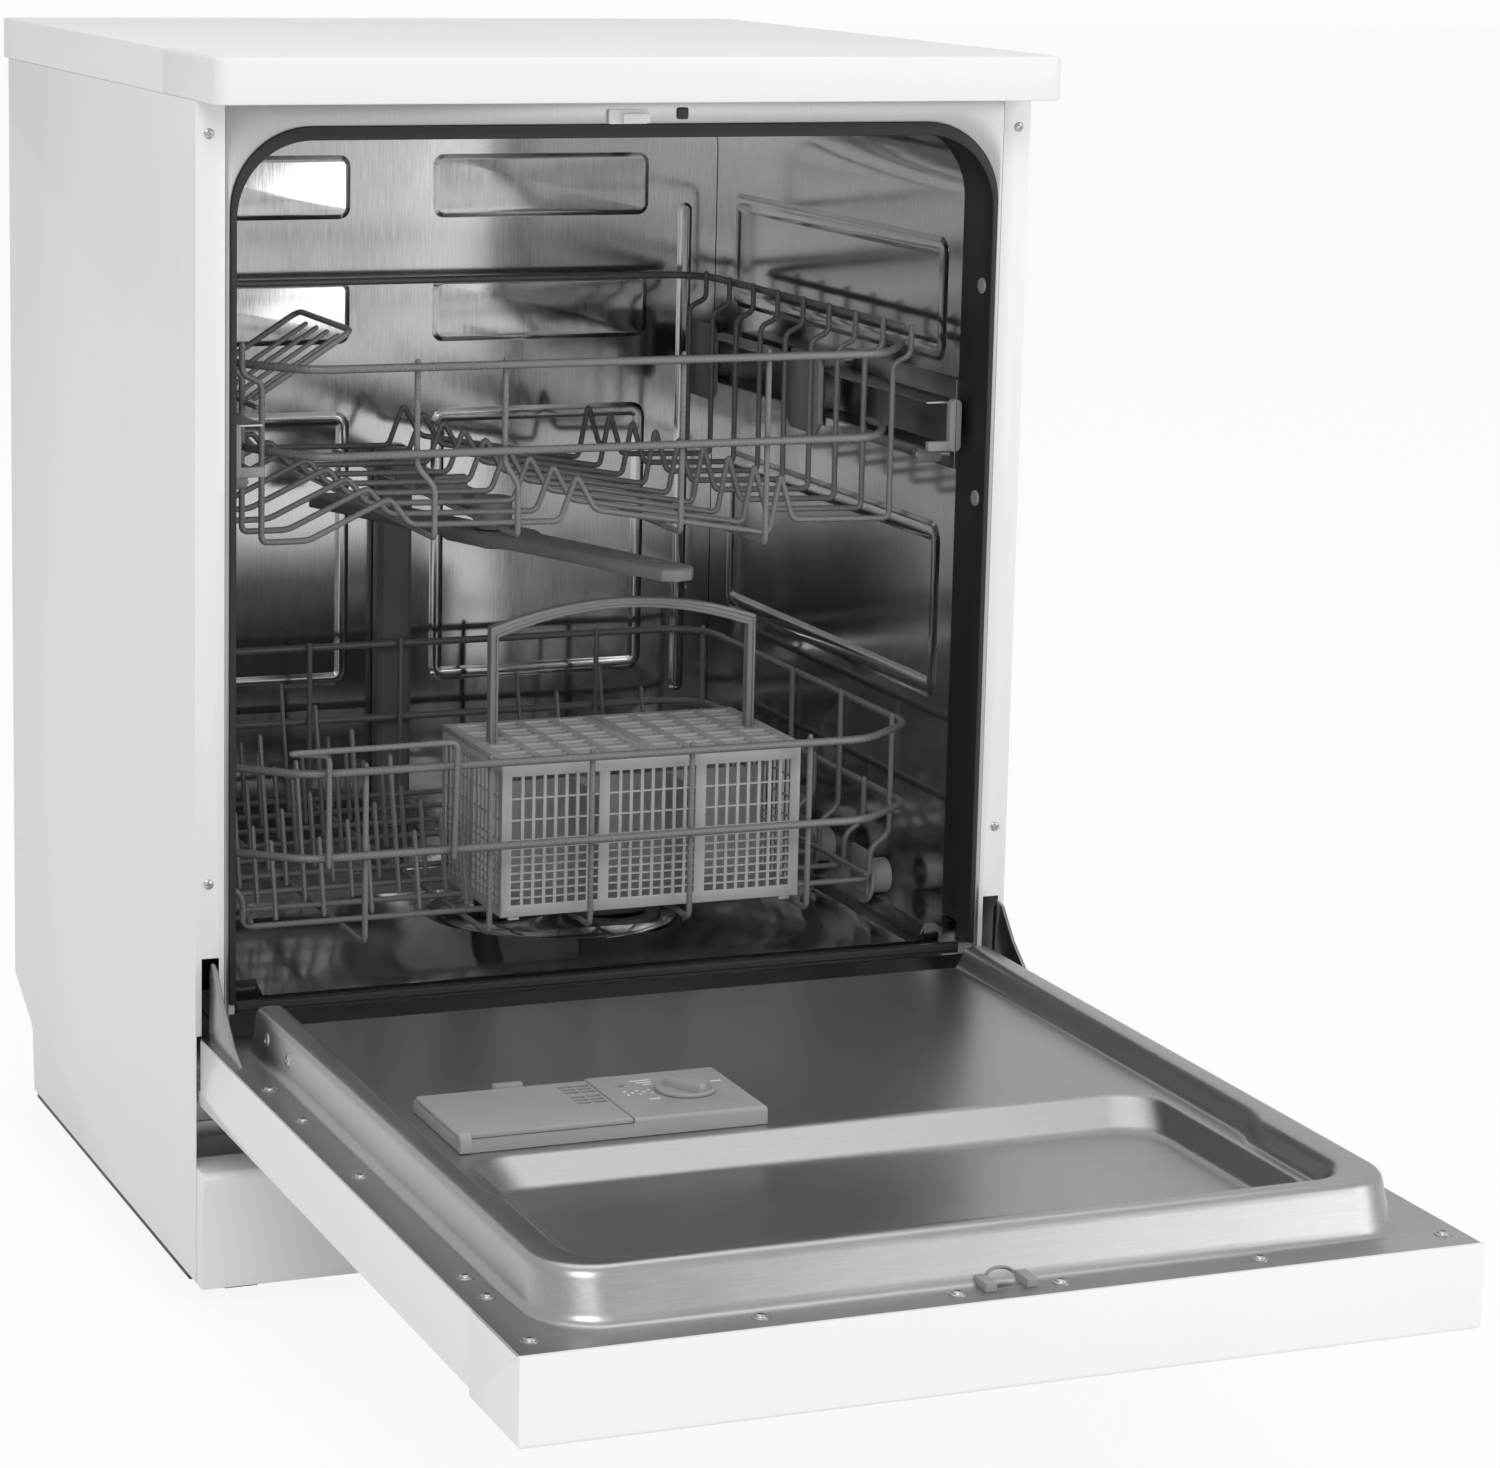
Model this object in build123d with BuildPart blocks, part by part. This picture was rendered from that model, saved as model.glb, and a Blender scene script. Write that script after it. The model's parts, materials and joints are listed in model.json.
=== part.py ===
from build123d import *
import math
import os

# A free-standing dishwasher, shown with its door folded down and both racks pushed in.
# X runs to the right as seen from the front, Y to the back, Z up. The origin is on the
# floor, midway between the sides, in the plane of the cabinet's front posts.

# Cabinet
width = 598.0
height = 845.0
top_thickness = 30.0
top_front = -50.0
top_trim_depth = 132.0
case_depth = 530.0
top_back = case_depth + 20
case_foot_depth = case_depth - 63
case_bottom = 22.0
sheet = 1.0
post_width = 20.0
post_bottom = 193.0
hinge_slot_top = 246.0
half = width / 2
top_underside = height - top_thickness

# Tub
tub_half = half - 22.5
tub_wall = 1.0
tub_front = 1.4
tub_back = case_depth - 21
tub_roof = height - 46
tub_corner = 56.0
tub_floor = 206.0
rim_level = 222.0
ledge_inner = tub_half - 27
ledge_front = 27.0
sump_x = 40.0
sump_y = 225.0
sump_radius = 95.0
arm_centre_y = 262.0
arm_bearing = 10.0
salt_x = -150.0
salt_y = 340.0

# Door, laid open: its inner face looks up
door_half = half - 3
door_length = top_underside - 181
door_rear = -2.0
flange_level = 192.0
panel_level = 145.0
fascia_level = 140.0
fascia_depth = 80.0
panel_tail = 52.0
pivot_y = -12.0
pivot_z = 188.0
hinge_x = half - 9.5
hinge_pin = 4.0
bulge_rear = -41.0
deck_level = 207.5
pan_level = 191.0

# Racks, pushed in
rack_back = tub_back - 29
lower_front = 42.0
lower_half = tub_half - 18.5
lower_floor_half = tub_half - 38.5
lower_top = 357.0
lower_middle = 298.0
lower_floor = 239.2
upper_front = 36.0
upper_half = tub_half - 24.5
upper_floor_half = tub_half - 43.5
upper_side_top = 645.0
upper_front_top = 634.0
upper_front_low = 575.0
rim_wire = 2.9
thin_wire = 2.2
weld_gap = 0.15
wheel_radius = 13.0
wheel_level = rim_level + wheel_radius + 0.2
rail_bottom = 565.0
rail_top = 599.0
rail_inner = tub_half - 33.5
rail_outer = tub_half - 8.5
rail_front = 35.5
rail_back = tub_back - 44

# Fits
seat_gap = 0.2
running_gap = 0.1

shelf = []


def slab(x_limits, y_limits, z_limits, mode=Mode.ADD):
    """A block between two limits along each axis."""
    limits = (x_limits, y_limits, z_limits)
    centre = tuple((low + high) / 2 for low, high in limits)
    with Locations(centre):
        Box(*(high - low for low, high in limits), mode=mode)


def peg(centre, radius, length, axis, mode=Mode.ADD):
    """A round bar that starts at a centre and runs along an axis."""
    with Locations(Plane(origin=centre, z_dir=axis)):
        Cylinder(radius, length, align=(Align.CENTER, Align.CENTER, Align.MIN), mode=mode)


def prism_bar(centre, radius, length, axis, sides=12, mode=Mode.ADD, turning=False):
    """A bar with flat sides; one that turns has its corners on the circle, others their flats."""
    with BuildSketch(Plane(origin=centre, z_dir=axis)) as outline:
        RegularPolygon(radius, sides, major_radius=turning)
    extrude(outline.sketch, amount=length, dir=axis, mode=mode)


def bent_wire(points, radius, sides=4):
    """One wire, bent at each point, with flat sides."""
    with BuildPart() as wire:
        with BuildLine() as route:
            Polyline(*points)
        with BuildSketch(Plane(origin=route.line @ 0, z_dir=route.line % 0)):
            RegularPolygon(radius, sides, major_radius=False, rotation=180 / sides)
        sweep(path=route.line, transition=Transition.RIGHT)
    return wire.part


def level_loft(low_sketch, low, high_sketch, high):
    """A solid that changes from one plan to another between two levels."""
    return loft([low_sketch.moved(Location((0, 0, low))), high_sketch.moved(Location((0, 0, high)))])


def both_sides(solid):
    """A piece and its mirror image across the middle of the machine."""
    return [solid, solid.mirror(Plane.YZ)]


def keep(piece, label):
    """Names a finished piece and sets it aside for writing."""
    piece.label = label
    shelf.append(piece)


def gather(solids, label):
    """Puts several loose solids of one kind into one node."""
    keep(Compound([s for piece in solids for s in piece.solids()]), label)


# Worktop: a laminated board with a moulded trim that wraps its front corners
trim_seam = top_front + top_trim_depth
tongue_half = half - 8
with BuildPart() as worktop:
    slab((-half, half), (trim_seam + seat_gap, top_back), (top_underside, height))
    corners = worktop.edges().filter_by(Axis.Z).sort_by(Axis.Y)[-2:]
    chamfer(corners, 5)
    slab(
        (-tongue_half, tongue_half),
        (top_front + 12, trim_seam + seat_gap),
        (top_underside, height),
    )
    chamfer(worktop.faces().sort_by(Axis.Z)[-1].edges().sort_by(Axis.Y)[-3:], 1.5)
keep(worktop.part, "worktop")

with BuildPart() as worktop_trim:
    slab((-half, half), (top_front, trim_seam), (top_underside, height))
    fillet(worktop_trim.edges().filter_by(Axis.Z).sort_by(Axis.Y)[:2], 10)
    chamfer(worktop_trim.faces().sort_by(Axis.Z)[-1].edges().sort_by(Axis.Y)[:5], 1.5)
    slab(
        (-tongue_half - seat_gap, tongue_half + seat_gap),
        (top_front + 12 - seat_gap, trim_seam + 1),
        (top_underside - 1, height + 1),
        mode=Mode.SUBTRACT,
    )
keep(worktop_trim.part, "worktop_trim")

# Side panels: folded sheets with a front post, a cut-back foot and the hinge arm's slot
with BuildPart() as right_side:
    with BuildSketch(Plane.YZ.offset(half - sheet)):
        with BuildLine():
            Polyline(
                (0, case_bottom),
                (case_foot_depth, case_bottom),
                (case_foot_depth + 5, 70),
                (case_foot_depth + 16, 77),
                (case_depth - 16, 92),
                (case_depth, 100),
                (case_depth, top_underside),
                (0, top_underside),
                close=True,
            )
        make_face()
    extrude(amount=sheet)
    slab((half - post_width, half), (0, sheet), (post_bottom, top_underside))
    slab(
        (half - post_width, half - post_width + sheet),
        (0, 12),
        (hinge_slot_top + 10, top_underside - 2),
    )
    slab((hinge_x - 7, hinge_x + 5), (-1, 2), (post_bottom - 1, hinge_slot_top), mode=Mode.SUBTRACT)
    slab((half - 14, half), (case_depth - sheet, case_depth), (100, top_underside))
keep(right_side.part, "right_side_panel")
keep(right_side.part.mirror(Plane.YZ), "left_side_panel")

with BuildPart() as rear_panel:
    slab((-half + 1.2, half - 1.2), (case_depth - 2.4, case_depth - 1.2), (100, top_underside - 0.2))
    with BuildSketch(Plane.XZ.offset(-(case_depth - 2.4))):
        with GridLocations(180, 0, 3, 1):
            with Locations((0, 440)):
                Rectangle(26, 520)
    extrude(amount=2)
keep(rear_panel.part, "rear_panel")

# Base: a moulded tray that carries the works, with a rear ledge under the tub
tray_half = half - 2
tray_front = 22.0
tray_floor = 20.0
tray_top = 100.0
inlet_x = -222.0
drain_x = -172.0
stub_level = 60.0
foot_bolt = 5.0
foot_places = [(x, y) for x in (42 - tray_half, tray_half - 42) for y in (60, case_foot_depth - 42)]
inlet_radius = 13.2
drain_radius = 10.0
with BuildPart() as base_tray:
    slab((-tray_half, tray_half), (tray_front, case_foot_depth - 2), (tray_floor - 4, tray_top))
    slab(
        (-tray_half + 4, tray_half - 4),
        (tray_front + 4, case_foot_depth - 6),
        (tray_floor, tray_top + 1),
        mode=Mode.SUBTRACT,
    )
    slab((-tray_half, tray_half), (case_foot_depth - 2, case_depth - 3), (tray_top - 4, tray_top))
    for y in (90, 400):
        slab((-tray_half, tray_half), (y, y + 3), (tray_floor, 45))
    for x, y in foot_places:
        slab((x - 16, x + 16), (y - 16, y + 16), (tray_floor - 10, tray_floor))
        prism_bar((x, y, 0), foot_bolt + seat_gap, 60, (0, 0, 1), mode=Mode.SUBTRACT)
    for x, reach in ((inlet_x, 22), (drain_x, 16)):
        reach += seat_gap
        slab(
            (x - reach, x + reach),
            (case_foot_depth - 7, case_foot_depth - 1),
            (stub_level - reach, stub_level + reach),
            mode=Mode.SUBTRACT,
        )
keep(base_tray.part, "base_tray")

with BuildPart() as levelling_feet:
    for x, y in foot_places:
        with BuildSketch(Plane.XY):
            with Locations((x, y)):
                RegularPolygon(20, 6, major_radius=False)
        extrude(amount=8, taper=30)
        prism_bar((x, y, 0), foot_bolt, 56, (0, 0, 1), turning=True)
keep(levelling_feet.part, "levelling_feet")

# Plinth: a rounded kick panel whose face is slightly hollow from top to bottom
plinth_top = 102.0
with BuildPart() as plinth:
    with BuildSketch(Plane.YZ.offset(-half + 1)):
        with BuildLine():
            ThreePointArc((-13, case_bottom - 2), (-11.5, 60), (-20, plinth_top))
            Polyline(
                (-20, plinth_top),
                (tray_front - seat_gap, plinth_top),
                (tray_front - seat_gap, case_bottom - 2),
                (-13, case_bottom - 2),
            )
        make_face()
    extrude(amount=width - 2)
    fillet(plinth.edges().group_by(Axis.Y)[0], 6)
    slab((-half + 5, half - 5), (-6, tray_front + 1), (case_bottom, plinth_top - 4), mode=Mode.SUBTRACT)
keep(plinth.part, "plinth")

# Cross member: a folded sheet behind the door's tail that ties the sides and holds the hinges
cross_y = 70.0
with BuildPart() as base_crossmember:
    slab((-half + 1.2, half - 1.2), (cross_y, cross_y + 1.5), (tray_top, 204.6))
    slab((-half + 1.2, half - 1.2), (cross_y, cross_y + 25), (tray_top, tray_top + 1.5))
    slab((29 - half, half - 29), (cross_y, cross_y + 20), (203.1, 204.6))
keep(base_crossmember.part, "base_crossmember")

# Hinge brackets: side plates with the pivot pins that the door turns on
with BuildPart() as hinge_bracket:
    with BuildSketch(Plane.YZ.offset(hinge_x - 6.5)):
        with BuildLine():
            Polyline(
                (pivot_y - 7, pivot_z - 6),
                (pivot_y - 7, pivot_z + 6),
                (pivot_y + 2, pivot_z + 10),
                (cross_y, pivot_z + 14),
                (cross_y, pivot_z - 22),
                (pivot_y + 4, pivot_z - 9),
                close=True,
            )
        make_face()
    extrude(amount=2.5)
    slab((hinge_x - 6.5, hinge_x + 7), (cross_y - 2, cross_y), (pivot_z - 22, pivot_z + 14))
    prism_bar((hinge_x - 4.2, pivot_y, pivot_z), hinge_pin, 7, (1, 0, 0), turning=True)
gather(both_sides(hinge_bracket.part), "hinge_brackets")

# Hinge springs: close-wound coils along each side of the tray, with flat end eyes
spring_front = 110.0
spring_length = 230.0
spring_x = tray_half - 16
spring_z = tray_floor + 8
with BuildPart() as hinge_spring:
    prism_bar((spring_x, spring_front + 14, spring_z), 7, spring_length - 28, (0, 1, 0), sides=8)
    slab(
        (spring_x - 1, spring_x + 1),
        (spring_front, spring_front + spring_length),
        (spring_z - 5, spring_z + 5),
    )
gather(both_sides(hinge_spring.part), "hinge_springs")

# Tub wrapper: one bent sheet makes the roof and both sides, pressed with stiffening frames
def arch(half_width, top, corner, bottom):
    """The outline of the tub's section: square at the bottom, round at the top corners."""
    with BuildSketch() as outline:
        with Locations((0, (top + bottom) / 2)):
            Rectangle(2 * half_width, top - bottom)
        fillet(outline.vertices().group_by(Axis.Y)[-1], corner)
    return outline.sketch


wrapper_bottom = tub_floor - 1.2
with BuildPart() as tub_wrapper:
    with BuildSketch(Plane.XZ.offset(-tub_front)):
        add(arch(tub_half, tub_roof, tub_corner, wrapper_bottom))
        add(
            arch(tub_half - tub_wall, tub_roof - tub_wall, tub_corner - tub_wall, wrapper_bottom - 5),
            mode=Mode.SUBTRACT,
        )
    extrude(amount=-(tub_back - tub_front))
    for side in (-1, 1):
        wall_plane = Plane(
            origin=(side * (tub_half - tub_wall), 0, 0),
            x_dir=(0, 1, 0),
            z_dir=(-side, 0, 0),
        )
        flip = -side
        with BuildSketch(wall_plane):
            for level, tall in ((tub_roof - 133, 90), (440, 130)):
                with Locations(((tub_back + 35) / 2, flip * level)):
                    Rectangle(tub_back - 113, tall)
                    Rectangle(tub_back - 137, tall - 24, mode=Mode.SUBTRACT)
        extrude(amount=1.6)
keep(tub_wrapper.part, "tub_wrapper")

with BuildPart() as tub_rear_wall:
    with BuildSketch(Plane.XZ.offset(-(tub_back - 2))):
        add(arch(tub_half - 1.2, tub_roof - 1.2, tub_corner - 1.2, tub_floor))
    extrude(amount=-1.2)
    with BuildSketch(Plane.XZ.offset(-(tub_back - 2))):
        with Locations(*[(x, z) for x in (-125, 125) for z in (618, tub_roof - 83)]):
            Rectangle(182, 50)
        with Locations(*[(x, 430) for x in (-125, 125)]):
            Rectangle(182, 220)
            Rectangle(162, 200, mode=Mode.SUBTRACT)
        with Locations((28.5 - tub_half, 500), (tub_half - 28.5, 500)):
            Rectangle(12, 400)
    extrude(amount=1.8)
keep(tub_rear_wall.part, "tub_rear_wall")

# Tub floor: wheel ledges at both sides, a front lip, and a funnel down to the sump
floor_half = tub_half - tub_wall - seat_gap
funnel_radius = sump_radius + 15
funnel_shells = []
for step in (0, 1.2):
    with BuildSketch() as wide:
        RegularPolygon(funnel_radius - step, 16, major_radius=False)
    with BuildSketch() as narrow:
        RegularPolygon(sump_radius + 1 - step, 16, major_radius=False)
    funnel_shells.append(level_loft(narrow.sketch, tub_floor - 7.2, wide.sketch, tub_floor))
funnel = (funnel_shells[0] - funnel_shells[1]).moved(Location((sump_x, sump_y, 0)))
with BuildPart() as tub_floor_pan:
    with BuildSketch(Plane.XZ.offset(-ledge_front)):
        with BuildLine():
            Polyline(
                (-floor_half, rim_level),
                (-ledge_inner, rim_level),
                (-ledge_inner + 7, tub_floor),
                (ledge_inner - 7, tub_floor),
                (ledge_inner, rim_level),
                (floor_half, rim_level),
                (floor_half, rim_level - 1.2),
                (ledge_inner + 0.8, rim_level - 1.2),
                (ledge_inner - 6.2, tub_floor - 1.2),
                (-ledge_inner + 6.2, tub_floor - 1.2),
                (-ledge_inner - 0.8, rim_level - 1.2),
                (-floor_half, rim_level - 1.2),
                close=True,
            )
        make_face()
    extrude(amount=-(tub_back - 2 - seat_gap - ledge_front))
    slab((-floor_half, floor_half), (tub_front, ledge_front), (tub_floor - 1.2, tub_floor))
    slab((-floor_half, floor_half), (ledge_front, ledge_front + 1.2), (tub_floor - 1.2, tub_floor + 4))
    for side in (-1, 1):
        slab(
            tuple(sorted((side * ledge_inner, side * floor_half))),
            (ledge_front, ledge_front + 1.2),
            (tub_floor - 1.2, rim_level),
        )
    prism_bar(
        (sump_x, sump_y, tub_floor - 5),
        funnel_radius - 1.2,
        10,
        (0, 0, 1),
        sides=16,
        mode=Mode.SUBTRACT,
    )
    add(funnel)
    prism_bar((salt_x, salt_y, tub_floor - 5), 20.3, 10, (0, 0, 1), mode=Mode.SUBTRACT)
keep(tub_floor_pan.part, "tub_floor")

# Front frame: the steel surround that joins the posts, the header and the tub's mouth
with BuildPart() as front_frame:
    with BuildSketch(Plane.XZ):
        with Locations((0, (top_underside + post_bottom) / 2)):
            Rectangle(2 * (half - post_width - seat_gap), top_underside - post_bottom)
        add(arch(tub_half - 1, tub_roof - 1, tub_corner - 1, post_bottom - 5), mode=Mode.SUBTRACT)
    extrude(amount=-1.2)
    slab((-half + 40, half - 40), (1.2, 26), (top_underside - 1.4, top_underside - 0.2))
keep(front_frame.part, "front_frame")

# Door seal: a rubber channel round the tub's mouth, and a lip along the sill
with BuildPart() as door_gasket:
    with BuildSketch(Plane.XZ.offset(2)):
        add(arch(tub_half - 1.2, tub_roof - 1.2, tub_corner - 1.2, 213))
        add(arch(tub_half - 5, tub_roof - 10, tub_corner - 5, 200), mode=Mode.SUBTRACT)
    extrude(amount=-21)
    with BuildSketch(Plane.XZ.offset(-19)):
        add(arch(tub_half - 1.2, tub_roof - 1.2, tub_corner - 1.2, rim_level + 1))
        add(arch(tub_half - 3.2, tub_roof - 5, tub_corner - 3, 200), mode=Mode.SUBTRACT)
    extrude(amount=-29)
with BuildPart() as sill_seal:
    slab((8.5 - tub_half, tub_half - 8.5), (8, 14), (tub_floor + 0.1, tub_floor + 5))
gather([door_gasket.part, sill_seal.part], "door_gasket")

# Strike: a white block on the header with a hook for the latch
with BuildPart() as door_strike:
    slab((-15, 13), (-7, 0), (top_underside - 16.8, top_underside - 7))
    slab((-9, 7), (-6, -3), (top_underside - 31, top_underside - 16.8))
    slab((-9, 7), (-12, -3), (top_underside - 33, top_underside - 30))
keep(door_strike.part, "door_strike")

# Sump and what stands in it
sump_sides = 16
with BuildPart() as sump:
    for radius, mode in ((84, Mode.ADD), (80, Mode.SUBTRACT)):
        bottom = 112 if mode is Mode.ADD else 116
        prism_bar((sump_x, sump_y, bottom), radius, 192 - bottom, (0, 0, 1), sides=sump_sides, mode=mode)
    prism_bar((sump_x, sump_y, 190), sump_radius, 8.5, (0, 0, 1), sides=sump_sides)
    prism_bar((sump_x, sump_y, 190 - 1), 80, 6, (0, 0, 1), sides=sump_sides, mode=Mode.SUBTRACT)
    prism_bar((sump_x, sump_y, 195), sump_radius - 4, 4, (0, 0, 1), sides=sump_sides, mode=Mode.SUBTRACT)
    prism_bar((sump_x + 82, sump_y, 150), 20, 36, (1, 0, 0))
    prism_bar((sump_x - 82, sump_y, 140), 13, 26, (-1, 0, 0))
    prism_bar((0, arm_centre_y, 115), arm_bearing, 106.8, (0, 0, 1), turning=True)
keep(sump.part, "sump")

filter_x = 75.0
filter_y = 200.0
filter_rim = 36.0
with BuildPart() as filter_plate:
    prism_bar((sump_x, sump_y, 199), sump_radius - 4.2, 1.6, (0, 0, 1), sides=sump_sides)
    prism_bar((sump_x, sump_y, 200.4), sump_radius - 8, 0.8, (0, 0, 1), sides=sump_sides)
    prism_bar((filter_x, filter_y, 198), filter_rim + 0.3, 10, (0, 0, 1), sides=20, mode=Mode.SUBTRACT)
    prism_bar((0, arm_centre_y, 198), arm_bearing + 0.3, 10, (0, 0, 1), mode=Mode.SUBTRACT)
keep(filter_plate.part, "filter_plate")

with BuildPart() as micro_filter:
    prism_bar((filter_x, filter_y, 150), 34, 50, (0, 0, 1), sides=20, turning=True)
    prism_bar((filter_x, filter_y, 199), filter_rim, 4, (0, 0, 1), sides=20, turning=True)
    prism_bar((filter_x, filter_y, 149), 31, 50, (0, 0, 1), sides=20, mode=Mode.SUBTRACT)
    prism_bar((filter_x, filter_y, 198), 25, 10, (0, 0, 1), sides=20, mode=Mode.SUBTRACT)
    slab((filter_x - 26, filter_x + 26), (filter_y - 3, filter_y + 3), (200, 211))
keep(micro_filter.part, "micro_filter")

# Works in the base
with BuildPart() as circulation_pump:
    prism_bar((sump_x + 118.2, sump_y, 150), 46, 40, (1, 0, 0))
    prism_bar((sump_x + 158, sump_y, 150), 38, 90, (1, 0, 0))
    slab((sump_x + 170, sump_x + 230), (sump_y - 20, sump_y + 20), (tray_floor + 0.2, 115))
keep(circulation_pump.part, "circulation_pump")

with BuildPart() as drain_pump:
    prism_bar((sump_x - 108.2, sump_y, 140), 26, 24, (-1, 0, 0))
    prism_bar((sump_x - 132, sump_y, 140), 22, 50, (-1, 0, 0))
keep(drain_pump.part, "drain_pump")

with BuildPart() as water_softener:
    slab((-236, -110), (300, 398), (tray_floor + 0.2, 195))
    chamfer(water_softener.edges().filter_by(Axis.Z), 14)
    prism_bar((salt_x, salt_y, 194), 19.6, 14, (0, 0, 1), sides=16)
    prism_bar((salt_x, salt_y, 180), 16.6, 30, (0, 0, 1), sides=16, mode=Mode.SUBTRACT)
keep(water_softener.part, "water_softener")

with BuildPart() as salt_cap:
    prism_bar((salt_x, salt_y, 208.3), 24, 4, (0, 0, 1), sides=16)
    prism_bar((salt_x, salt_y, 196), 15.7, 13, (0, 0, 1), sides=16)
    slab((salt_x - 22, salt_x + 22), (salt_y - 3, salt_y + 3), (210, 216))
keep(salt_cap.part, "salt_cap")

# Water connections in the rear foot recess: a threaded inlet and a drain spigot
stub_seat = case_foot_depth + 0.2
with BuildPart() as water_connections:
    for x, reach, depth, radius, length in (
        (inlet_x, 22, 46, inlet_radius, 27.8),
        (drain_x, 16, 36, drain_radius, 31.8),
    ):
        slab(
            (x - reach, x + reach),
            (case_foot_depth - depth, stub_seat),
            (stub_level - reach, stub_level + reach),
        )
        peg((x, stub_seat - 1, stub_level), radius, length + 1, (0, 1, 0))
gather([water_connections.part], "water_connections")

# Feed duct up the rear wall to the upper rack's docking nozzle
dock_level = 497.0
with BuildPart() as rear_feed_duct:
    slab((-14, 14), (tub_back - 21, tub_back - 4), (tub_floor + 0.2, dock_level + 14))
    chamfer(rear_feed_duct.edges().filter_by(Axis.Z).sort_by(Axis.Y)[:2], 4)
    prism_bar((0, tub_back - 20, dock_level), 12, 8, (0, -1, 0))
keep(rear_feed_duct.part, "rear_feed_duct")

# Lower spray arm on its bearing
def spray_arm(level, reach, bore):
    """A hollow blade, thick at the hub and thin at the tips, with jet slots along its top."""
    with BuildPart() as blade:
        with BuildSketch(Plane.XY.offset(level)):
            with BuildLine():
                points = [
                    (reach, 7),
                    (reach - 7, 15),
                    (40, 17),
                    (22, 26),
                    (-22, 26),
                    (-40, 17),
                    (7 - reach, 15),
                    (-reach, 7),
                ]
                Polyline(*points, *[(-x, -y) for x, y in points], close=True)
            make_face()
        extrude(amount=9)
        chamfer(blade.faces().sort_by(Axis.Z)[-1].edges(), 2)
        prism_bar((0, 0, level - 1), bore, 8, (0, 0, 1), mode=Mode.SUBTRACT)
        with BuildSketch(Plane.XY.offset(level + 9)):
            with Locations(*[(side * (60 + 30 * i), side * 5) for side in (-1, 1) for i in range(5)]):
                Rectangle(9, 3)
        extrude(amount=-3, mode=Mode.SUBTRACT)
    return blade.part.moved(Location((0, arm_centre_y, 0)))


keep(spray_arm(216, 216, arm_bearing + 0.4), "lower_spray_arm")

# Slide rails of the upper rack: open channels between guide rollers and the rack's wheels
with BuildPart() as rail:
    slab((rail_inner, rail_outer), (rail_front, rail_back), (rail_bottom, rail_top))
    slab(
        (rail_inner - 1, rail_outer - 1.5),
        (rail_front - 1, rail_back + 1),
        (rail_bottom + 1.5, rail_top - 1.5),
        mode=Mode.SUBTRACT,
    )
gather(both_sides(rail.part), "upper_rails")

with BuildPart() as rail_cap:
    slab(
        (rail_inner - 1, rail_outer + 1),
        (rail_front - 6, rail_front - 0.1),
        (rail_bottom - 2, rail_top + 2),
    )
    chamfer(rail_cap.edges().filter_by(Axis.Y), 3)
    slab(
        (rail_inner + 2, rail_outer - 1.7),
        (rail_front - 1, rail_front + 4),
        (rail_bottom + 1.7, rail_top - 1.7),
    )
gather(both_sides(rail_cap.part), "rail_caps")

axle = 3.0
roller_radius = 6.5
roller_places = {
    "front_guide_rollers": (60.0, rail_bottom - roller_radius - running_gap),
    "rear_guide_rollers": (230.0, rail_top + roller_radius + running_gap),
}
with BuildPart() as roller_plate:
    slab((tub_half - tub_wall - 3.2, tub_half - tub_wall - 0.1), (49, 246), (548, 612))
    for place_y, place_z in roller_places.values():
        prism_bar((tub_half - tub_wall - 3, place_y, place_z), axle, 26.5, (-1, 0, 0), turning=True)
    slab((rail_inner + 7, tub_half - tub_wall - 1), (224, 236), (556, rail_bottom - 0.2))
gather(both_sides(roller_plate.part), "roller_plates")
for name, (place_y, place_z) in roller_places.items():
    with BuildPart() as roller:
        prism_bar(
            (rail_inner + 4.2, place_y, place_z),
            roller_radius,
            18,
            (1, 0, 0),
            sides=16,
            turning=True,
        )
        prism_bar(
            (rail_inner + 4, place_y, place_z),
            axle + running_gap / 2,
            20,
            (1, 0, 0),
            mode=Mode.SUBTRACT,
        )
    gather(both_sides(roller.part), name)


# Wire racks
def closed_rim(half_width, front, back, level, cut, front_half):
    """A rim wire with slanted front corners, butt-joined at the middle of the back."""
    rear_cut = 22
    return [
        (0.2, back, level),
        (half_width - rear_cut, back, level),
        (half_width, back - rear_cut, level),
        (half_width, front + cut, level),
        (front_half, front, level),
        (-front_half, front, level),
        (-half_width, front + cut, level),
        (-half_width, back - rear_cut, level),
        (-half_width + rear_cut, back, level),
        (-0.2, back, level),
    ]


cross_first = 98.0
cross_pitch = 45.5
cross_count = 9
wire_step = rim_wire + thin_wire + weld_gap
lower_wires = []
for level in (lower_top, lower_middle):
    lower_wires.append(
        bent_wire(
            closed_rim(lower_half, lower_front, rack_back, level, 42, lower_half - 51),
            rim_wire,
            sides=6,
        )
    )

side_inner = lower_half - wire_step
for i in range(cross_count):
    y = cross_first + cross_pitch * i
    tip = lower_top + 5 if i % 2 == 0 else lower_middle + 7
    right = [
        (lower_floor_half, y, lower_floor),
        (lower_floor_half, y, 262),
        (side_inner, y, 272),
        (side_inner, y, tip),
    ]
    left = [(-x, wire_y, z) for x, wire_y, z in reversed(right)]
    lower_wires.append(bent_wire(left + right, thin_wire))

front_inner = lower_front + wire_step
back_inner = rack_back - wire_step
bottom_level = lower_floor - 2 * thin_wire - weld_gap
for x in (-165.5, -75, 0, 75, 165.5):
    tip = lower_top + 5
    lower_wires.append(
        bent_wire(
            [
                (x, front_inner, tip),
                (x, front_inner, bottom_level),
                (x, back_inner, bottom_level),
                (x, back_inner, tip),
            ],
            thin_wire,
        )
    )

rail_x = lower_floor_half - 2 * thin_wire - weld_gap
rail_z = lower_floor + 2 * thin_wire + weld_gap
for side in (-1, 1):
    lower_wires.append(bent_wire([(side * rail_x, 92, rail_z), (side * rail_x, 468, rail_z)], thin_wire))

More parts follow.
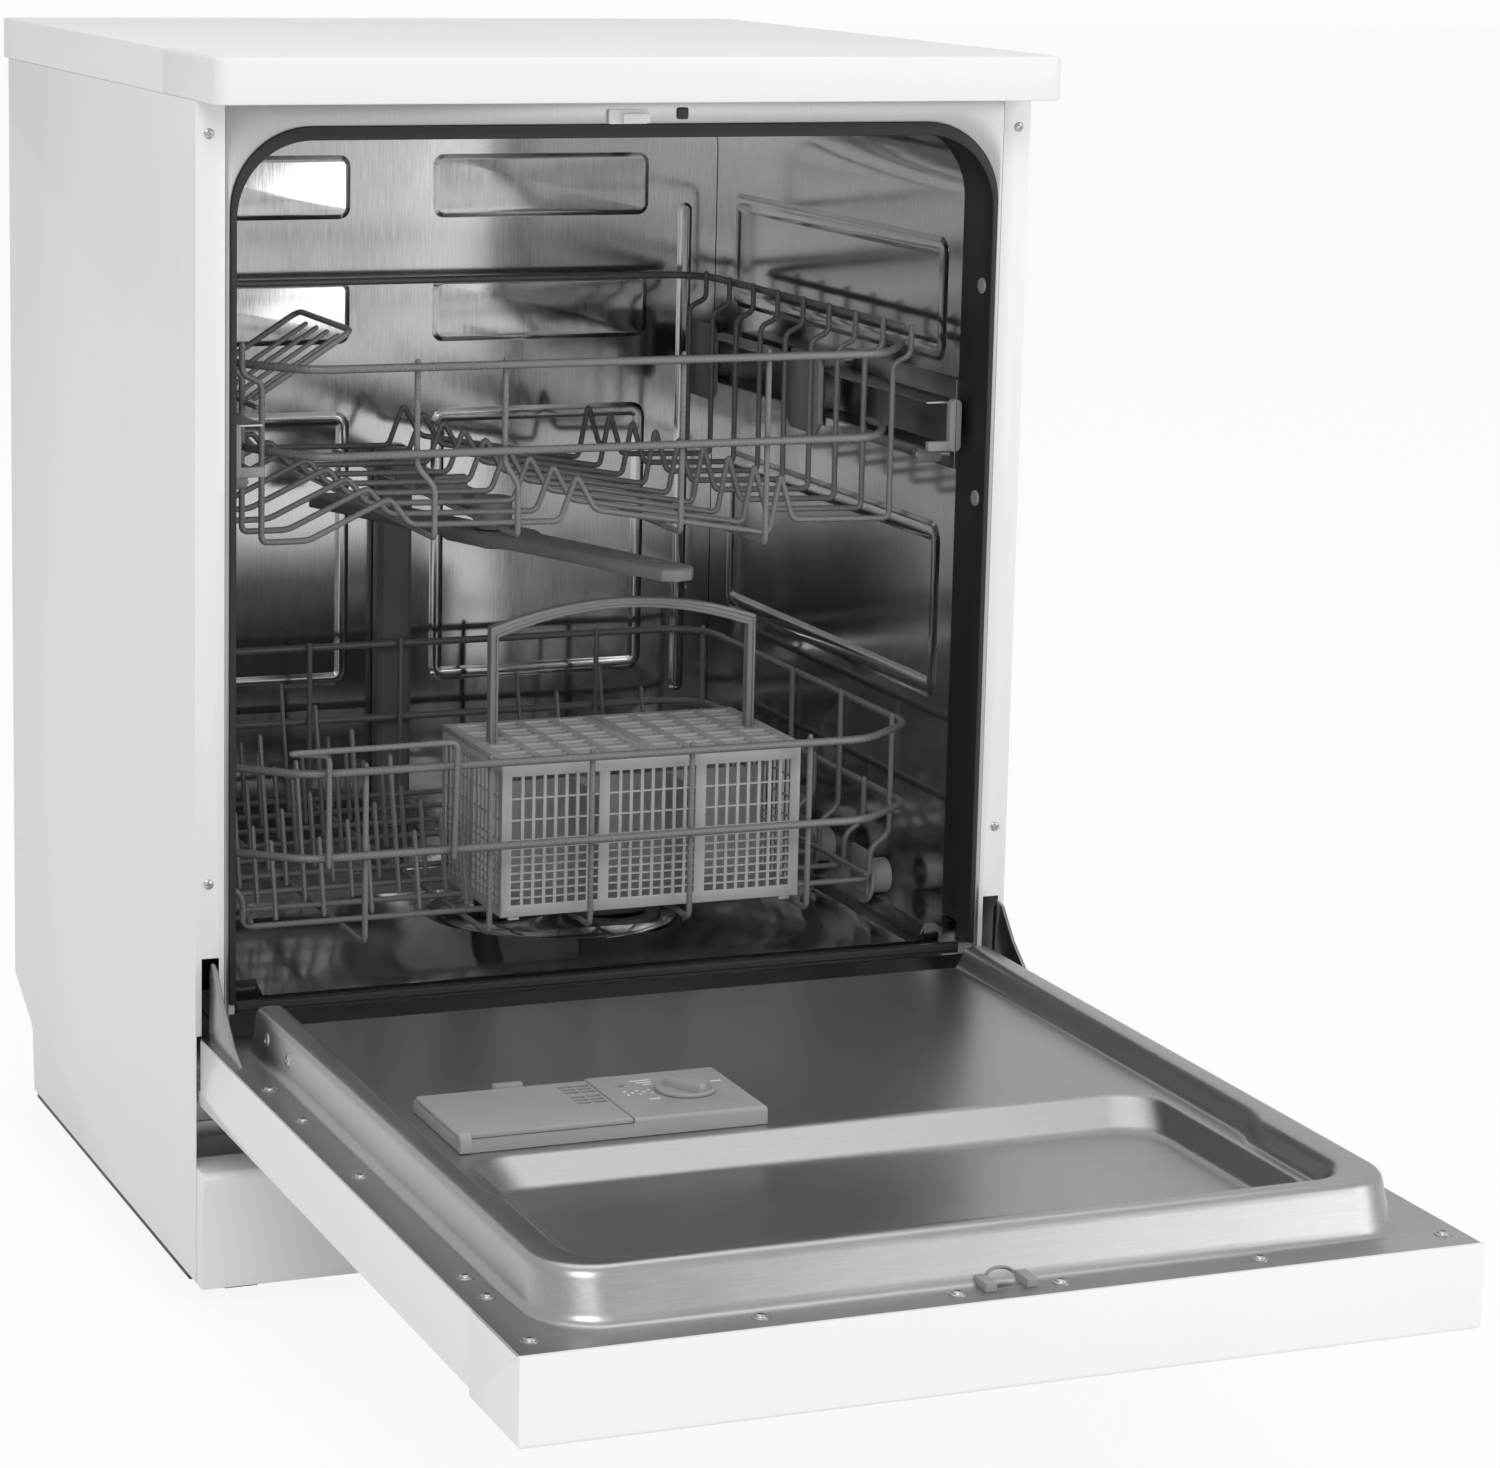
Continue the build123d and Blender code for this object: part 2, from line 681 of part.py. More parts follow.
grip_y = lower_front - rim_wire - thin_wire - weld_gap
lower_wires.append(
    bent_wire(
        [
            (-195, grip_y, 292),
            (-195, grip_y, 371),
            (-226, grip_y - 6, 375),
            (-105, grip_y - 6, 376),
            (-105, grip_y, 292),
        ],
        thin_wire,
    )
)


def tine_row(y, xs, base, lengths, lean):
    """Straight plate supports that stand on one cross wire and lean back."""
    direction = Vector(0, math.sin(math.radians(lean)), math.cos(math.radians(lean)))
    row = []
    for place, x in enumerate(xs):
        start = Vector(x, y, base)
        end = start + direction * lengths[place % len(lengths)]
        row.append(bent_wire([tuple(start), tuple(end)], thin_wire - 0.3))
    return row


tine_base = lower_floor + thin_wire + 0.8
left_tines = [24 - lower_floor_half + 35 * i for i in range(5)]
right_tines = [50 + 35 * i for i in range(5)]
for i in range(cross_count - 1):
    y = cross_first + cross_pitch * i
    lower_wires += tine_row(y, left_tines, tine_base, (56, 100) if i % 2 else (56,), 14)
    if i >= 3:
        lower_wires += tine_row(y, right_tines, tine_base, (56, 100) if i % 2 else (56,), 14)
gather(lower_wires, "lower_rack_wires")

# Lower rack wheels: a spoked hub rolls on the rim and a flange runs inside it
wheel_places = (121.0, 222.0, 360.0, 461.0)
carrier_x = lower_floor_half + thin_wire + seat_gap
carrier_parts = []
for y in wheel_places:
    with BuildPart() as carrier:
        slab((carrier_x, carrier_x + 1.3), (y - 14, y + 14), (224.5, 258))
        prism_bar((carrier_x + 1.2, y, wheel_level), axle, 22, (1, 0, 0), turning=True)
    carrier_parts += both_sides(carrier.part)
gather(carrier_parts, "lower_wheel_carriers")

for number, y in enumerate(wheel_places, start=1):
    with BuildPart() as wheel:
        prism_bar(
            (carrier_x + 1.5, y, wheel_level),
            wheel_radius + 6.4,
            2.8,
            (1, 0, 0),
            sides=20,
            turning=True,
        )
        prism_bar((carrier_x + 4.2, y, wheel_level), wheel_radius, 17, (1, 0, 0), sides=20, turning=True)
        prism_bar((carrier_x, y, wheel_level), axle + running_gap / 2, 30, (1, 0, 0), mode=Mode.SUBTRACT)
    gather(both_sides(wheel.part), f"lower_wheels_{number}")

# Cutlery basket
basket_left = -62.0
basket_right = 164.0
basket_front = 60.0
basket_back = 189.0
basket_bottom = lower_floor + thin_wire + seat_gap
basket_top = 354.0
basket_wall = 2.2
with BuildPart() as basket:
    slab((basket_left, basket_right), (basket_front, basket_back), (basket_bottom, basket_top - 4))
    slab(
        (basket_left + basket_wall, basket_right - basket_wall),
        (basket_front + basket_wall, basket_back - basket_wall),
        (basket_bottom + basket_wall, basket_top),
        mode=Mode.SUBTRACT,
    )
    middle_z = (basket_bottom + basket_top - 4) / 2
    middle_x = (basket_left + basket_right) / 2
    middle_y = (basket_front + basket_back) / 2
    with BuildSketch(Plane.XZ.offset(-basket_front)):
        with Locations((middle_x, middle_z)):
            with GridLocations(73, 0, 3, 1):
                Rectangle(65, 92)
    extrude(amount=-(basket_back - basket_front), mode=Mode.SUBTRACT)
    with BuildSketch(Plane.YZ.offset(basket_left)):
        with Locations((middle_y, middle_z)):
            with GridLocations(61, 0, 2, 1):
                Rectangle(54, 92)
    extrude(amount=basket_right - basket_left, mode=Mode.SUBTRACT)
    for x in (basket_left + 74, basket_left + 147):
        slab((x, x + 1.8), (basket_front + 1, basket_back - 1), (basket_bottom + 1, basket_top - 30))
    slab(
        (basket_left + 1, basket_right - 1),
        (middle_y - 0.9, middle_y + 0.9),
        (basket_bottom + 1, basket_top - 30),
    )

with BuildPart() as basket_lids:
    for low, high in ((basket_left, middle_x - 0.3), (middle_x + 0.3, basket_right)):
        slab((low, high), (basket_front, basket_back), (basket_top - 3.8, basket_top))
        with BuildSketch(Plane.XY.offset(basket_top)):
            with Locations(((low + high) / 2, middle_y)):
                with GridLocations(26, 24, 4, 5):
                    Rectangle(20, 18)
        extrude(amount=-4, mode=Mode.SUBTRACT)
gather([basket.part, basket_lids.part], "cutlery_basket")

handle_foot = basket_top - 30 + seat_gap
with BuildPart() as basket_handle:
    with BuildSketch(Plane.XZ.offset(-(middle_y - 4))):
        with BuildLine():
            Polyline((-50, handle_foot), (-50, 436))
            ThreePointArc((-50, 436), (middle_x, 453), (153, 436))
            Polyline((153, 436), (153, handle_foot), (147, handle_foot), (147, 429))
            ThreePointArc((147, 429), (middle_x, 446), (-44, 429))
            Polyline((-44, 429), (-44, handle_foot), (-50, handle_foot))
        make_face()
    extrude(amount=-9)
keep(basket_handle.part, "basket_handle")

# Upper rack
upper_side_inner = upper_half - wire_step
upper_wires = [
    bent_wire(
        [
            (-upper_half, 96, upper_side_top),
            (-upper_half, rack_back - 22, upper_side_top),
            (-upper_half + 22, rack_back, upper_side_top),
            (upper_half - 22, rack_back, upper_side_top),
            (upper_half, rack_back - 22, upper_side_top),
            (upper_half, 96, upper_side_top),
        ],
        rim_wire,
        sides=6,
    )
]
low_reach = upper_floor_half + rim_wire + thin_wire + weld_gap
for level, reach, corner in ((upper_front_top, upper_half, 42), (upper_front_low, low_reach, 34.25)):
    corner = reach - corner
    upper_wires.append(
        bent_wire(
            [
                (-reach, 130, level),
                (-reach, 93, level),
                (-corner, upper_front, level),
                (corner, upper_front, level),
                (reach, 93, level),
                (reach, 130, level),
            ],
            rim_wire,
            sides=6,
        )
    )

floor_spread = upper_floor_half / 233
floor_profile = [
    (x * floor_spread, z)
    for x, z in (
        (-200, 513),
        (-142, 540),
        (-127, 521),
        (-18, 519),
        (-6, 551),
        (8, 526),
        (140, 504),
        (148, 546),
        (158, 513),
    )
]


def floor_level(x):
    """The height of the upper rack's floor at one distance from the middle."""
    for (left, low), (right, high) in zip(floor_profile, floor_profile[1:]):
        if left <= x <= right:
            return low + (high - low) * (x - left) / (right - left)
    raise ValueError("outside the floor")


upper_first = 72.0
upper_pitch = 48.0
upper_count = 9
for i in range(upper_count):
    y = upper_first + upper_pitch * i
    tip = upper_side_top + 5
    path = [
        (-upper_side_inner, y, tip),
        (-upper_side_inner, y, 628),
        (-upper_floor_half, y, 622),
        (-upper_floor_half, y, 513),
    ]
    path += [(x, y, z) for x, z in floor_profile]
    path += [
        (upper_floor_half, y, 511),
        (upper_floor_half, y, 622),
        (upper_side_inner, y, 628),
        (upper_side_inner, y, tip),
    ]
    upper_wires.append(bent_wire(path, thin_wire))
upper_front_inner = upper_front + wire_step
for x, jog in ((-133, 13), (-70, 10), (60, 0), (124, 0)):
    x *= floor_spread
    foot_x = x + jog
    foot = floor_level(foot_x) - 2.05 * thin_wire - weld_gap
    upright = [(x, upper_front_inner, upper_front_top + 5)]
    if jog:
        upright += [(x, upper_front_inner, 566), (foot_x, upper_front_inner, 551)]
    upright += [(foot_x, upper_front_inner, foot), (foot_x, rack_back - 16, foot)]
    upper_wires.append(bent_wire(upright, thin_wire))
gather(upper_wires, "upper_rack_wires")

# Wheels of the upper rack run inside the rails
upper_wheel_places = {"upper_front_wheels": 236.0, "upper_rear_wheels": 440.0}
upper_wheel_level = (rail_bottom + rail_top) / 2
upper_wheel_radius = (rail_top - rail_bottom) / 2 - 1.5 - 0.4
upper_carrier_parts = []
for y in upper_wheel_places.values():
    with BuildPart() as upper_carrier:
        slab((upper_floor_half + thin_wire + 0.2, rail_inner - 3.5), (y - 30, y + 30), (552, 612))
        chamfer(upper_carrier.edges().filter_by(Axis.X), 8)
        prism_bar((rail_inner - 4, y, upper_wheel_level), axle, 24, (1, 0, 0), turning=True)
    upper_carrier_parts += both_sides(upper_carrier.part)
gather(upper_carrier_parts, "upper_wheel_carriers")
for name, y in upper_wheel_places.items():
    with BuildPart() as upper_wheel:
        prism_bar(
            (rail_inner + 4, y, upper_wheel_level),
            upper_wheel_radius,
            14,
            (1, 0, 0),
            sides=16,
            turning=True,
        )
        prism_bar(
            (rail_inner, y, upper_wheel_level),
            axle + running_gap / 2,
            30,
            (1, 0, 0),
            mode=Mode.SUBTRACT,
        )
    gather(both_sides(upper_wheel.part), name)

# Cup shelf: a hinged wire flap over the left side
shelf_hinge_x = -upper_floor_half + 2 * thin_wire + 0.3
shelf_hinge_z = 601.4
shelf_reach = 83.0
shelf_slope = math.radians(32.7)
shelf_front = 108.0
shelf_back = 234.0


def shelf_point(distance, lift):
    """A point of the shelf's section, along its slope and straight up from its hinge rod."""
    x = shelf_hinge_x + distance * math.cos(shelf_slope)
    return x, shelf_hinge_z + lift + distance * math.sin(shelf_slope)


frame_root = shelf_point(-1, 4.95)
frame_tip = shelf_point(shelf_reach, 4.95)
shelf_wires = [
    bent_wire(
        [
            (frame_root[0], shelf_front, frame_root[1]),
            (frame_tip[0], shelf_front, frame_tip[1]),
            (frame_tip[0], shelf_back, frame_tip[1]),
            (frame_root[0], shelf_back, frame_root[1]),
        ],
        thin_wire,
    ),
    bent_wire(
        [(shelf_hinge_x, shelf_front - 8, shelf_hinge_z), (shelf_hinge_x, shelf_back + 8, shelf_hinge_z)],
        thin_wire - 0.2,
        sides=6,
    ),
]
rung_root = shelf_point(thin_wire + 0.3, 0)
rung_tip = shelf_point(shelf_reach - 1, 0)
for i in range(4):
    y = shelf_front + 26 + 25 * i
    shelf_wires.append(
        bent_wire([(rung_root[0], y, rung_root[1]), (rung_tip[0], y, rung_tip[1])], thin_wire - 0.4)
    )
gather(shelf_wires, "cup_shelf")

# Feed pipe under the upper rack and its spray arm
with BuildPart() as upper_feed_pipe:
    prism_bar((0, rack_back + 0.7, dock_level), 9, rack_back + 0.7 - arm_centre_y, (0, -1, 0), sides=10)
    for i in (5, 7):
        y = upper_first + upper_pitch * i
        hanger_top = floor_level(-18 * floor_spread) - thin_wire - seat_gap
        slab((-30 * floor_spread, -4 * floor_spread), (y - 5, y + 5), (dock_level + 1, hanger_top))
    prism_bar((0, arm_centre_y, dock_level + 10), 14, 22.8, (0, 0, -1))
    prism_bar((0, arm_centre_y, dock_level - 8), 8, 20, (0, 0, -1), turning=True)
    prism_bar((0, arm_centre_y, dock_level - 23.3), 12, 3, (0, 0, -1))
keep(upper_feed_pipe.part, "upper_feed_pipe")

with BuildPart() as upper_arm:
    add(spray_arm(474, 212, 8.1))
    prism_bar((0, arm_centre_y, 470), 8.1, 20, (0, 0, 1), mode=Mode.SUBTRACT)
keep(upper_arm.part.rotate(Axis((0, arm_centre_y, 0), (0, 0, 1)), -70), "upper_spray_arm")

# Door: inner liner of pressed steel
def door_outline(rear_half, front_half, rear, front, corner):
    """The liner's plan at one level, with round front corners."""
    with BuildSketch() as outline:
        with BuildLine():
            Polyline(
                (-rear_half, rear),
                (-front_half, front),
                (front_half, front),
                (rear_half, rear),
                close=True,
            )
        make_face()
        fillet(outline.vertices().group_by(Axis.Y)[0], corner)
    return outline.sketch


bulge_half = tub_half - 6
bulge_front = 30 - door_length
open_rear = bulge_rear + 2
bulge = level_loft(
    door_outline(bulge_half, bulge_half - 1.5, bulge_rear, bulge_front, 40),
    pan_level - 1.4,
    door_outline(bulge_half - 2, bulge_half - 4, bulge_rear, bulge_front + 12, 34),
    rim_level,
)
recess = level_loft(
    door_outline(bulge_half - 27, bulge_half - 27, open_rear, bulge_front + 36, 36),
    deck_level,
    door_outline(ledge_inner, ledge_inner, open_rear, bulge_front + 27, 38),
    rim_level + 0.01,
)
pan = level_loft(
    door_outline(ledge_inner - 33.5, ledge_inner - 27.5, -371, bulge_front + 48, 30),
    pan_level,
    door_outline(ledge_inner - 15.5, ledge_inner - 15.5, -346, bulge_front + 38, 34),
    deck_level + 0.01,
)
disp_left = 67 - door_half
disp_right = disp_left + 200
latch_y = 27 - door_length
with BuildPart() as door_liner:
    slab((-door_half, door_half), (-door_length + 3, door_rear), (flange_level - 1.2, flange_level))
    add(bulge)
    add(recess, mode=Mode.SUBTRACT)
    add(pan, mode=Mode.SUBTRACT)
    slab(
        (21.5 - ledge_inner, ledge_inner - 21.5),
        (-338, bulge_rear - 1.4),
        (pan_level - 2, deck_level - 1.3),
        mode=Mode.SUBTRACT,
    )
    for side in (-1, 1):
        slab(
            tuple(sorted((side * (hinge_x - 8), side * (hinge_x + 4.5)))),
            (-80, door_rear + 1),
            (flange_level - 3, flange_level + 1),
            mode=Mode.SUBTRACT,
        )
    slab((disp_left + 3, disp_right - 3), (-337, -253), (pan_level - 2, deck_level + 1), mode=Mode.SUBTRACT)
    slab((-11, 11), (latch_y - 9, latch_y + 9), (pan_level - 3, rim_level), mode=Mode.SUBTRACT)
    slab((-16.3, 16.3), (latch_y - 12.3, latch_y + 12.3), (flange_level, rim_level + 1), mode=Mode.SUBTRACT)
keep(door_liner.part, "door_liner")

# Door: outer panel, folded up at the sides, with a tail that tucks under the tub when shut
panel_front = -door_length + fascia_depth
with BuildPart() as door_outer_panel:
    slab((-door_half, door_half), (panel_front, panel_tail), (panel_level, panel_level + sheet))
    for side in (-1, 1):
        edge = tuple(sorted((side * (door_half - sheet), side * door_half)))
        slab(edge, (panel_front, door_rear), (panel_level, flange_level - 1.4))
        slab(edge, (door_rear, panel_tail), (panel_level, panel_level + 10))
    slab((-door_half, door_half), (panel_tail - sheet, panel_tail), (panel_level, panel_level + 10))
keep(door_outer_panel.part, "door_outer_panel")

# Door: control fascia with a finger grip in its outer face
fascia_half = door_half + 1
start_x = door_half - 56
display_x = start_x - 85
button_places = {"power_button": -start_x, "program_button": 90 - start_x, "start_button": start_x}
button_y = -door_length + 26
button_half = 11.0
with BuildPart() as fascia:
    slab((-fascia_half, fascia_half), (-door_length, panel_front - 0.5), (fascia_level, flange_level - 1.4))
    slab((-fascia_half, fascia_half), (-door_length, -door_length + 3), (flange_level - 1.4, flange_level))
    fillet(fascia.faces().sort_by(Axis.Z)[0].edges().sort_by(Axis.Y)[:3], 3)
    slab(
        (-fascia_half + 2.5, fascia_half - 2.5),
        (-door_length + 2.8, panel_front - 3),
        (fascia_level + 2.5, flange_level),
        mode=Mode.SUBTRACT,
    )
    slab(
        (21 - door_half, door_half - 21),
        (panel_front - 4, panel_front),
        (pan_level - 1.8, flange_level),
        mode=Mode.SUBTRACT,
    )
    slab((-76, 76), (6 - door_length, 44 - door_length), (fascia_level + 1, 164))
    slab((-73, 73), (9 - door_length, 41 - door_length), (fascia_level - 1, 161.5), mode=Mode.SUBTRACT)
    for x in button_places.values():
        hole_half = button_half + 0.4
        slab(
            (x - hole_half, x + hole_half),
            (button_y - 7.4, button_y + 7.4),
            (fascia_level - 1, fascia_level + 4),
            mode=Mode.SUBTRACT,
        )
    slab(
        (display_x - 44.5, display_x + 44.5),
        (button_y - 10.5, button_y + 10.5),
        (fascia_level - 1, fascia_level + 4),
        mode=Mode.SUBTRACT,
    )
keep(fascia.part, "fascia")

with BuildPart() as display_window:
    slab(
        (display_x - 44.3, display_x + 44.3),
        (button_y - 10.3, button_y + 10.3),
        (fascia_level, fascia_level + 2.5),
    )
    slab(
        (display_x - 47, display_x + 47),
        (button_y - 13, button_y + 13),
        (fascia_level + 2.6, fascia_level + 8),
    )
keep(display_window.part, "display_window")

for name, x in button_places.items():
    with BuildPart() as button:
        slab(
            (x - button_half, x + button_half),
            (button_y - 7, button_y + 7),
            (fascia_level - 1, fascia_level + 8),
        )
        slab(
            (x - button_half - 2, x + button_half + 2),
            (button_y - 9, button_y + 9),
            (fascia_level + 2.7, fascia_level + 4.3),
        )
        slab((x - 3, x + 3), (button_y - 3, button_y + 3), (fascia_level + 8, fascia_level + 12))
    keep(button.part, name)

with BuildPart() as latch_case:
    slab((-24, 24), (latch_y - 17, latch_y + 23), (165, pan_level - 1.6))
    slab((-16, 16), (latch_y - 12, latch_y + 12), (flange_level + 0.1, flange_level + 5))
    slab((-10.8, 10.8), (latch_y - 8.8, latch_y + 8.8), (pan_level - 2, flange_level + 1))
    slab((-9.5, 9.5), (latch_y - 8, latch_y + 8), (172, flange_level + 6), mode=Mode.SUBTRACT)
    slab(
        (-9.5, 9.5),
        (latch_y - 13, latch_y + 8),
        (flange_level + 0.05, flange_level + 6),
        mode=Mode.SUBTRACT,
    )
keep(latch_case.part, "latch_case")

# Door: hinge arms that reach through the slots in the posts
with BuildPart() as hinge_arm:
    with BuildSketch(Plane.YZ.offset(hinge_x - 1.2)):
        with BuildLine():
            Polyline(
                (-78, 170),
                (-78, flange_level + 1),
                (-62, flange_level + 10),
                (-36, 222),
                (-18, 243),
                (-9, 245),
                (-5, 238),
                (-4, 182),
                (-14, 178),
                (-40, 176),
                close=True,
            )
        make_face()
        with Locations((pivot_y, pivot_z)):
            RegularPolygon(hinge_pin + running_gap, 12, major_radius=False, mode=Mode.SUBTRACT)
    extrude(amount=2.4)
    slab((hinge_x - 1.2, door_half - sheet - 0.2), (-76, -74.5), (165, 189))
gather(both_sides(hinge_arm.part), "hinge_arms")

# Detergent dispenser with a flap, its release and the rinse-aid cap
disp_front = -340.0
disp_back = -250.0
disp_top = 219.5
lid_right = disp_left + 112
lid_axis_z = 217.8
rinse_x = disp_left + 164
rinse_y = -293.0
with BuildPart() as dispenser_body:
    slab((disp_left, disp_right), (disp_front, disp_back), (deck_level + 0.1, disp_top))
    chamfer(dispenser_body.faces().sort_by(Axis.Z)[-1].edges(), 1.5)
    slab((disp_left + 3.2, disp_right - 3.2), (-336.8, -253.2), (deck_level - 9, deck_level + 1))
    slab(
        (disp_left - 1, lid_right + 0.4),
        (disp_front - 1, disp_back + 1),
        (215.8, disp_top + 1),
        mode=Mode.SUBTRACT,
    )
    slab((disp_left + 11, lid_right - 11), (-330, -262), (203, 216), mode=Mode.SUBTRACT)
    slab((disp_left + 50.5, disp_left + 72.5), (-254, disp_back + 1), (212, 217), mode=Mode.SUBTRACT)
    prism_bar((rinse_x, rinse_y, disp_top - 8), 12.8, 10, (0, 0, 1), sides=16, mode=Mode.SUBTRACT)
keep(dispenser_body.part, "dispenser_body")

with BuildPart() as dispenser_lid:
    slab((disp_left, lid_right), (disp_front + 2, disp_back - 4.2), (216, disp_top))
    chamfer(dispenser_lid.faces().sort_by(Axis.Z)[-1].edges().sort_by(Axis.Y)[-3:], 1.2)
keep(dispenser_lid.part, "dispenser_lid")

with BuildPart() as dispenser_release:
    slab((disp_left + 52, disp_left + 71), (disp_back - 3.6, disp_back + 2), (212.2, 221))
keep(dispenser_release.part, "dispenser_release")

with BuildPart() as rinse_aid_cap:
    prism_bar((rinse_x, rinse_y, disp_top + 0.2), 19, 2.6, (0, 0, 1), sides=24)
    prism_bar((rinse_x, rinse_y, disp_top - 7), 12, 8, (0, 0, 1), sides=16)
    slab((rinse_x - 16, rinse_x + 16), (rinse_y - 3, rinse_y + 3), (disp_top + 2, disp_top + 6.5))
keep(rinse_aid_cap.part, "rinse_aid_cap")

os.makedirs("parts", exist_ok=True)
for piece in shelf:
    export_step(piece, f"parts/{piece.label}.step")
print(len(shelf), "pieces")
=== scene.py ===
import json
import math
import bpy
from mathutils import Matrix, Vector

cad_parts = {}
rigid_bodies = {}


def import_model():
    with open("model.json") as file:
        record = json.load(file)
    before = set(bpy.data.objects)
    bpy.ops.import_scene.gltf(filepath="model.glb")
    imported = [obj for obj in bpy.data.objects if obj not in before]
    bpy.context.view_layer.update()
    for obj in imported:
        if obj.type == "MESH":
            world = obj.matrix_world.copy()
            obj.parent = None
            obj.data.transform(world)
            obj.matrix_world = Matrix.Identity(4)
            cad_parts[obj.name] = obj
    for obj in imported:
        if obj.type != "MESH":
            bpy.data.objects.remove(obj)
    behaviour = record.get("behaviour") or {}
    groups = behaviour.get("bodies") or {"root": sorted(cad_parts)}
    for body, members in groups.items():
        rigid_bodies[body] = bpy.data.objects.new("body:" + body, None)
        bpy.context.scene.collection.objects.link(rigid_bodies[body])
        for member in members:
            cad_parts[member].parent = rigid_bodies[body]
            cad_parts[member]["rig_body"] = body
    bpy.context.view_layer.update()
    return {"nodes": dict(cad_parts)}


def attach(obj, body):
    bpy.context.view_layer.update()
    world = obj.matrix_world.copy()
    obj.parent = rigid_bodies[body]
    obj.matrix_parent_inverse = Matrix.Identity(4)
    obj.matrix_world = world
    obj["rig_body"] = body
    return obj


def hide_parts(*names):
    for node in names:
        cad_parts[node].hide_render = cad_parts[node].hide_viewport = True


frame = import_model()
scene = bpy.context.scene
scene.view_settings.view_transform = "Standard"

# Camera: a long lens to the left of the machine, a little above its worktop's height, turned
# right and tipped down, with a slight shift that frames the open door. MM turns a length in
# millimetres into the scene's metres.
MM = 0.001
camera_place = Vector((-1021.45, -2615.18, 977.32)) * MM
camera_turn, camera_tip, camera_roll = math.radians(21.05), math.radians(9.93), math.radians(0.98)
camera_data = bpy.data.cameras.new("studio_camera")
camera_data.sensor_width = 36
camera_data.lens = 100.467
camera_data.shift_x = 0.1
camera_data.shift_y = -0.1
camera_data.clip_start = 0.05
camera_data.clip_end = 60
camera = bpy.data.objects.new("studio_camera", camera_data)
scene.collection.objects.link(camera)
camera.matrix_world = (
    Matrix.Translation(camera_place)
    @ Matrix.Rotation(-camera_turn, 4, "Z")
    @ Matrix.Rotation(math.pi / 2 - camera_tip, 4, "X")
    @ Matrix.Rotation(camera_roll, 4, "Z")
)
scene.camera = camera


# Floor: a pale studio floor that shows white to the camera and keeps the machine's shadow.
# Shader maths is written on wrapped sockets, and one method adds every other node.
class Shade:
    """A socket in a node tree; a sum or product of it adds its own node."""

    def __init__(self, nodes, socket):
        self.nodes = nodes
        self.socket = socket

    def _math(self, operation, *values):
        return self.nodes.node("ShaderNodeMath", {"operation": operation}, dict(enumerate(values)))

    def __add__(self, other):
        return self._math("ADD", self, other)

    def __radd__(self, other):
        return self._math("ADD", other, self)

    def __mul__(self, other):
        return self._math("MULTIPLY", self, other)

    def __rmul__(self, other):
        return self._math("MULTIPLY", other, self)


class Nodes:
    """The nodes of one material, or of the world."""

    def __init__(self, tree):
        self.tree = tree

    def node(self, kind, settings=None, sockets=None, out=0):
        """Adds a node: its settings come first, then the values or links of its sockets."""
        made = self.tree.nodes.new(kind)
        for key, value in (settings or {}).items():
            if key == "stops":
                for element, (where, grey) in zip(made.color_ramp.elements, value):
                    element.position = where
                    element.color = (grey, grey, grey, 1)
            else:
                setattr(made, key, value)
        for place, value in (sockets or {}).items():
            self.feed(made.inputs[place], value)
        return Shade(self, made.outputs[out])

    def feed(self, socket, value):
        """Links a socket to a wrapped one, or gives it a plain value."""
        if isinstance(value, Shade):
            self.tree.links.new(value.socket, socket)
        else:
            socket.default_value = value


class Finish(Nodes):
    """A material and the nodes that make it."""

    def __init__(self, name):
        self.material = bpy.data.materials.new(name)
        self.material.use_nodes = True
        super().__init__(self.material.node_tree)
        self.shader = self.tree.nodes["Principled BSDF"]

    def place(self, scale=(1, 1, 1)):
        """The point on the piece, in metres, stretched along each axis."""
        spot = self.node("ShaderNodeTexCoord", out=3)
        return self.node("ShaderNodeVectorMath", {"operation": "MULTIPLY"}, {0: spot, 1: scale})

    def noise(self, spot, size, detail=2.0, rough=0.5):
        """Soft random clouds; a larger size makes them smaller."""
        sockets = {"Vector": spot, "Scale": size, "Detail": detail, "Roughness": rough}
        return self.node("ShaderNodeTexNoise", sockets=sockets)

    def ramp(self, value, low, high):
        """A grey that follows a value through the middle of its range."""
        return self.node("ShaderNodeValToRGB", {"stops": ((0.3, low), (0.7, high))}, {0: value})

    def bump(self, height, strength, distance):
        """Raises and lowers the surface's shading by a height."""
        sockets = {"Strength": strength, "Distance": distance, "Height": height}
        self.set(Normal=self.node("ShaderNodeBump", sockets=sockets))

    def set(self, **values):
        """Feeds the shader's sockets by their names, with _ for a blank."""
        for key, value in values.items():
            self.feed(self.shader.inputs[key.replace("_", " ")], value)


white = (1, 1, 1, 1)
floor_size, floor_grey = 40, 0.93
bpy.ops.object.select_all(action="DESELECT")
bpy.ops.mesh.primitive_plane_add(size=floor_size, location=(0, 0, 0))
floor = bpy.context.object
floor.name = "studio_floor"
floor_finish = Finish("studio_floor")
floor_finish.set(Base_Color=(floor_grey, floor_grey, floor_grey, 1), Roughness=0.9)
direct = floor_finish.node("ShaderNodeLightPath", out="Is Camera Ray")
glossy = floor_finish.node("ShaderNodeLightPath", out="Is Glossy Ray")
lit = Shade(floor_finish, floor_finish.shader.outputs[0])
glow = floor_finish.node("ShaderNodeEmission", sockets={0: white, 1: 1.0})
blend = floor_finish.node("ShaderNodeMixShader", sockets={0: direct * 0.9 + glossy * 0.5, 1: lit, 2: glow})
floor_finish.feed(floor_finish.tree.nodes["Material Output"].inputs[0], blend)
floor.data.materials.append(floor_finish.material)

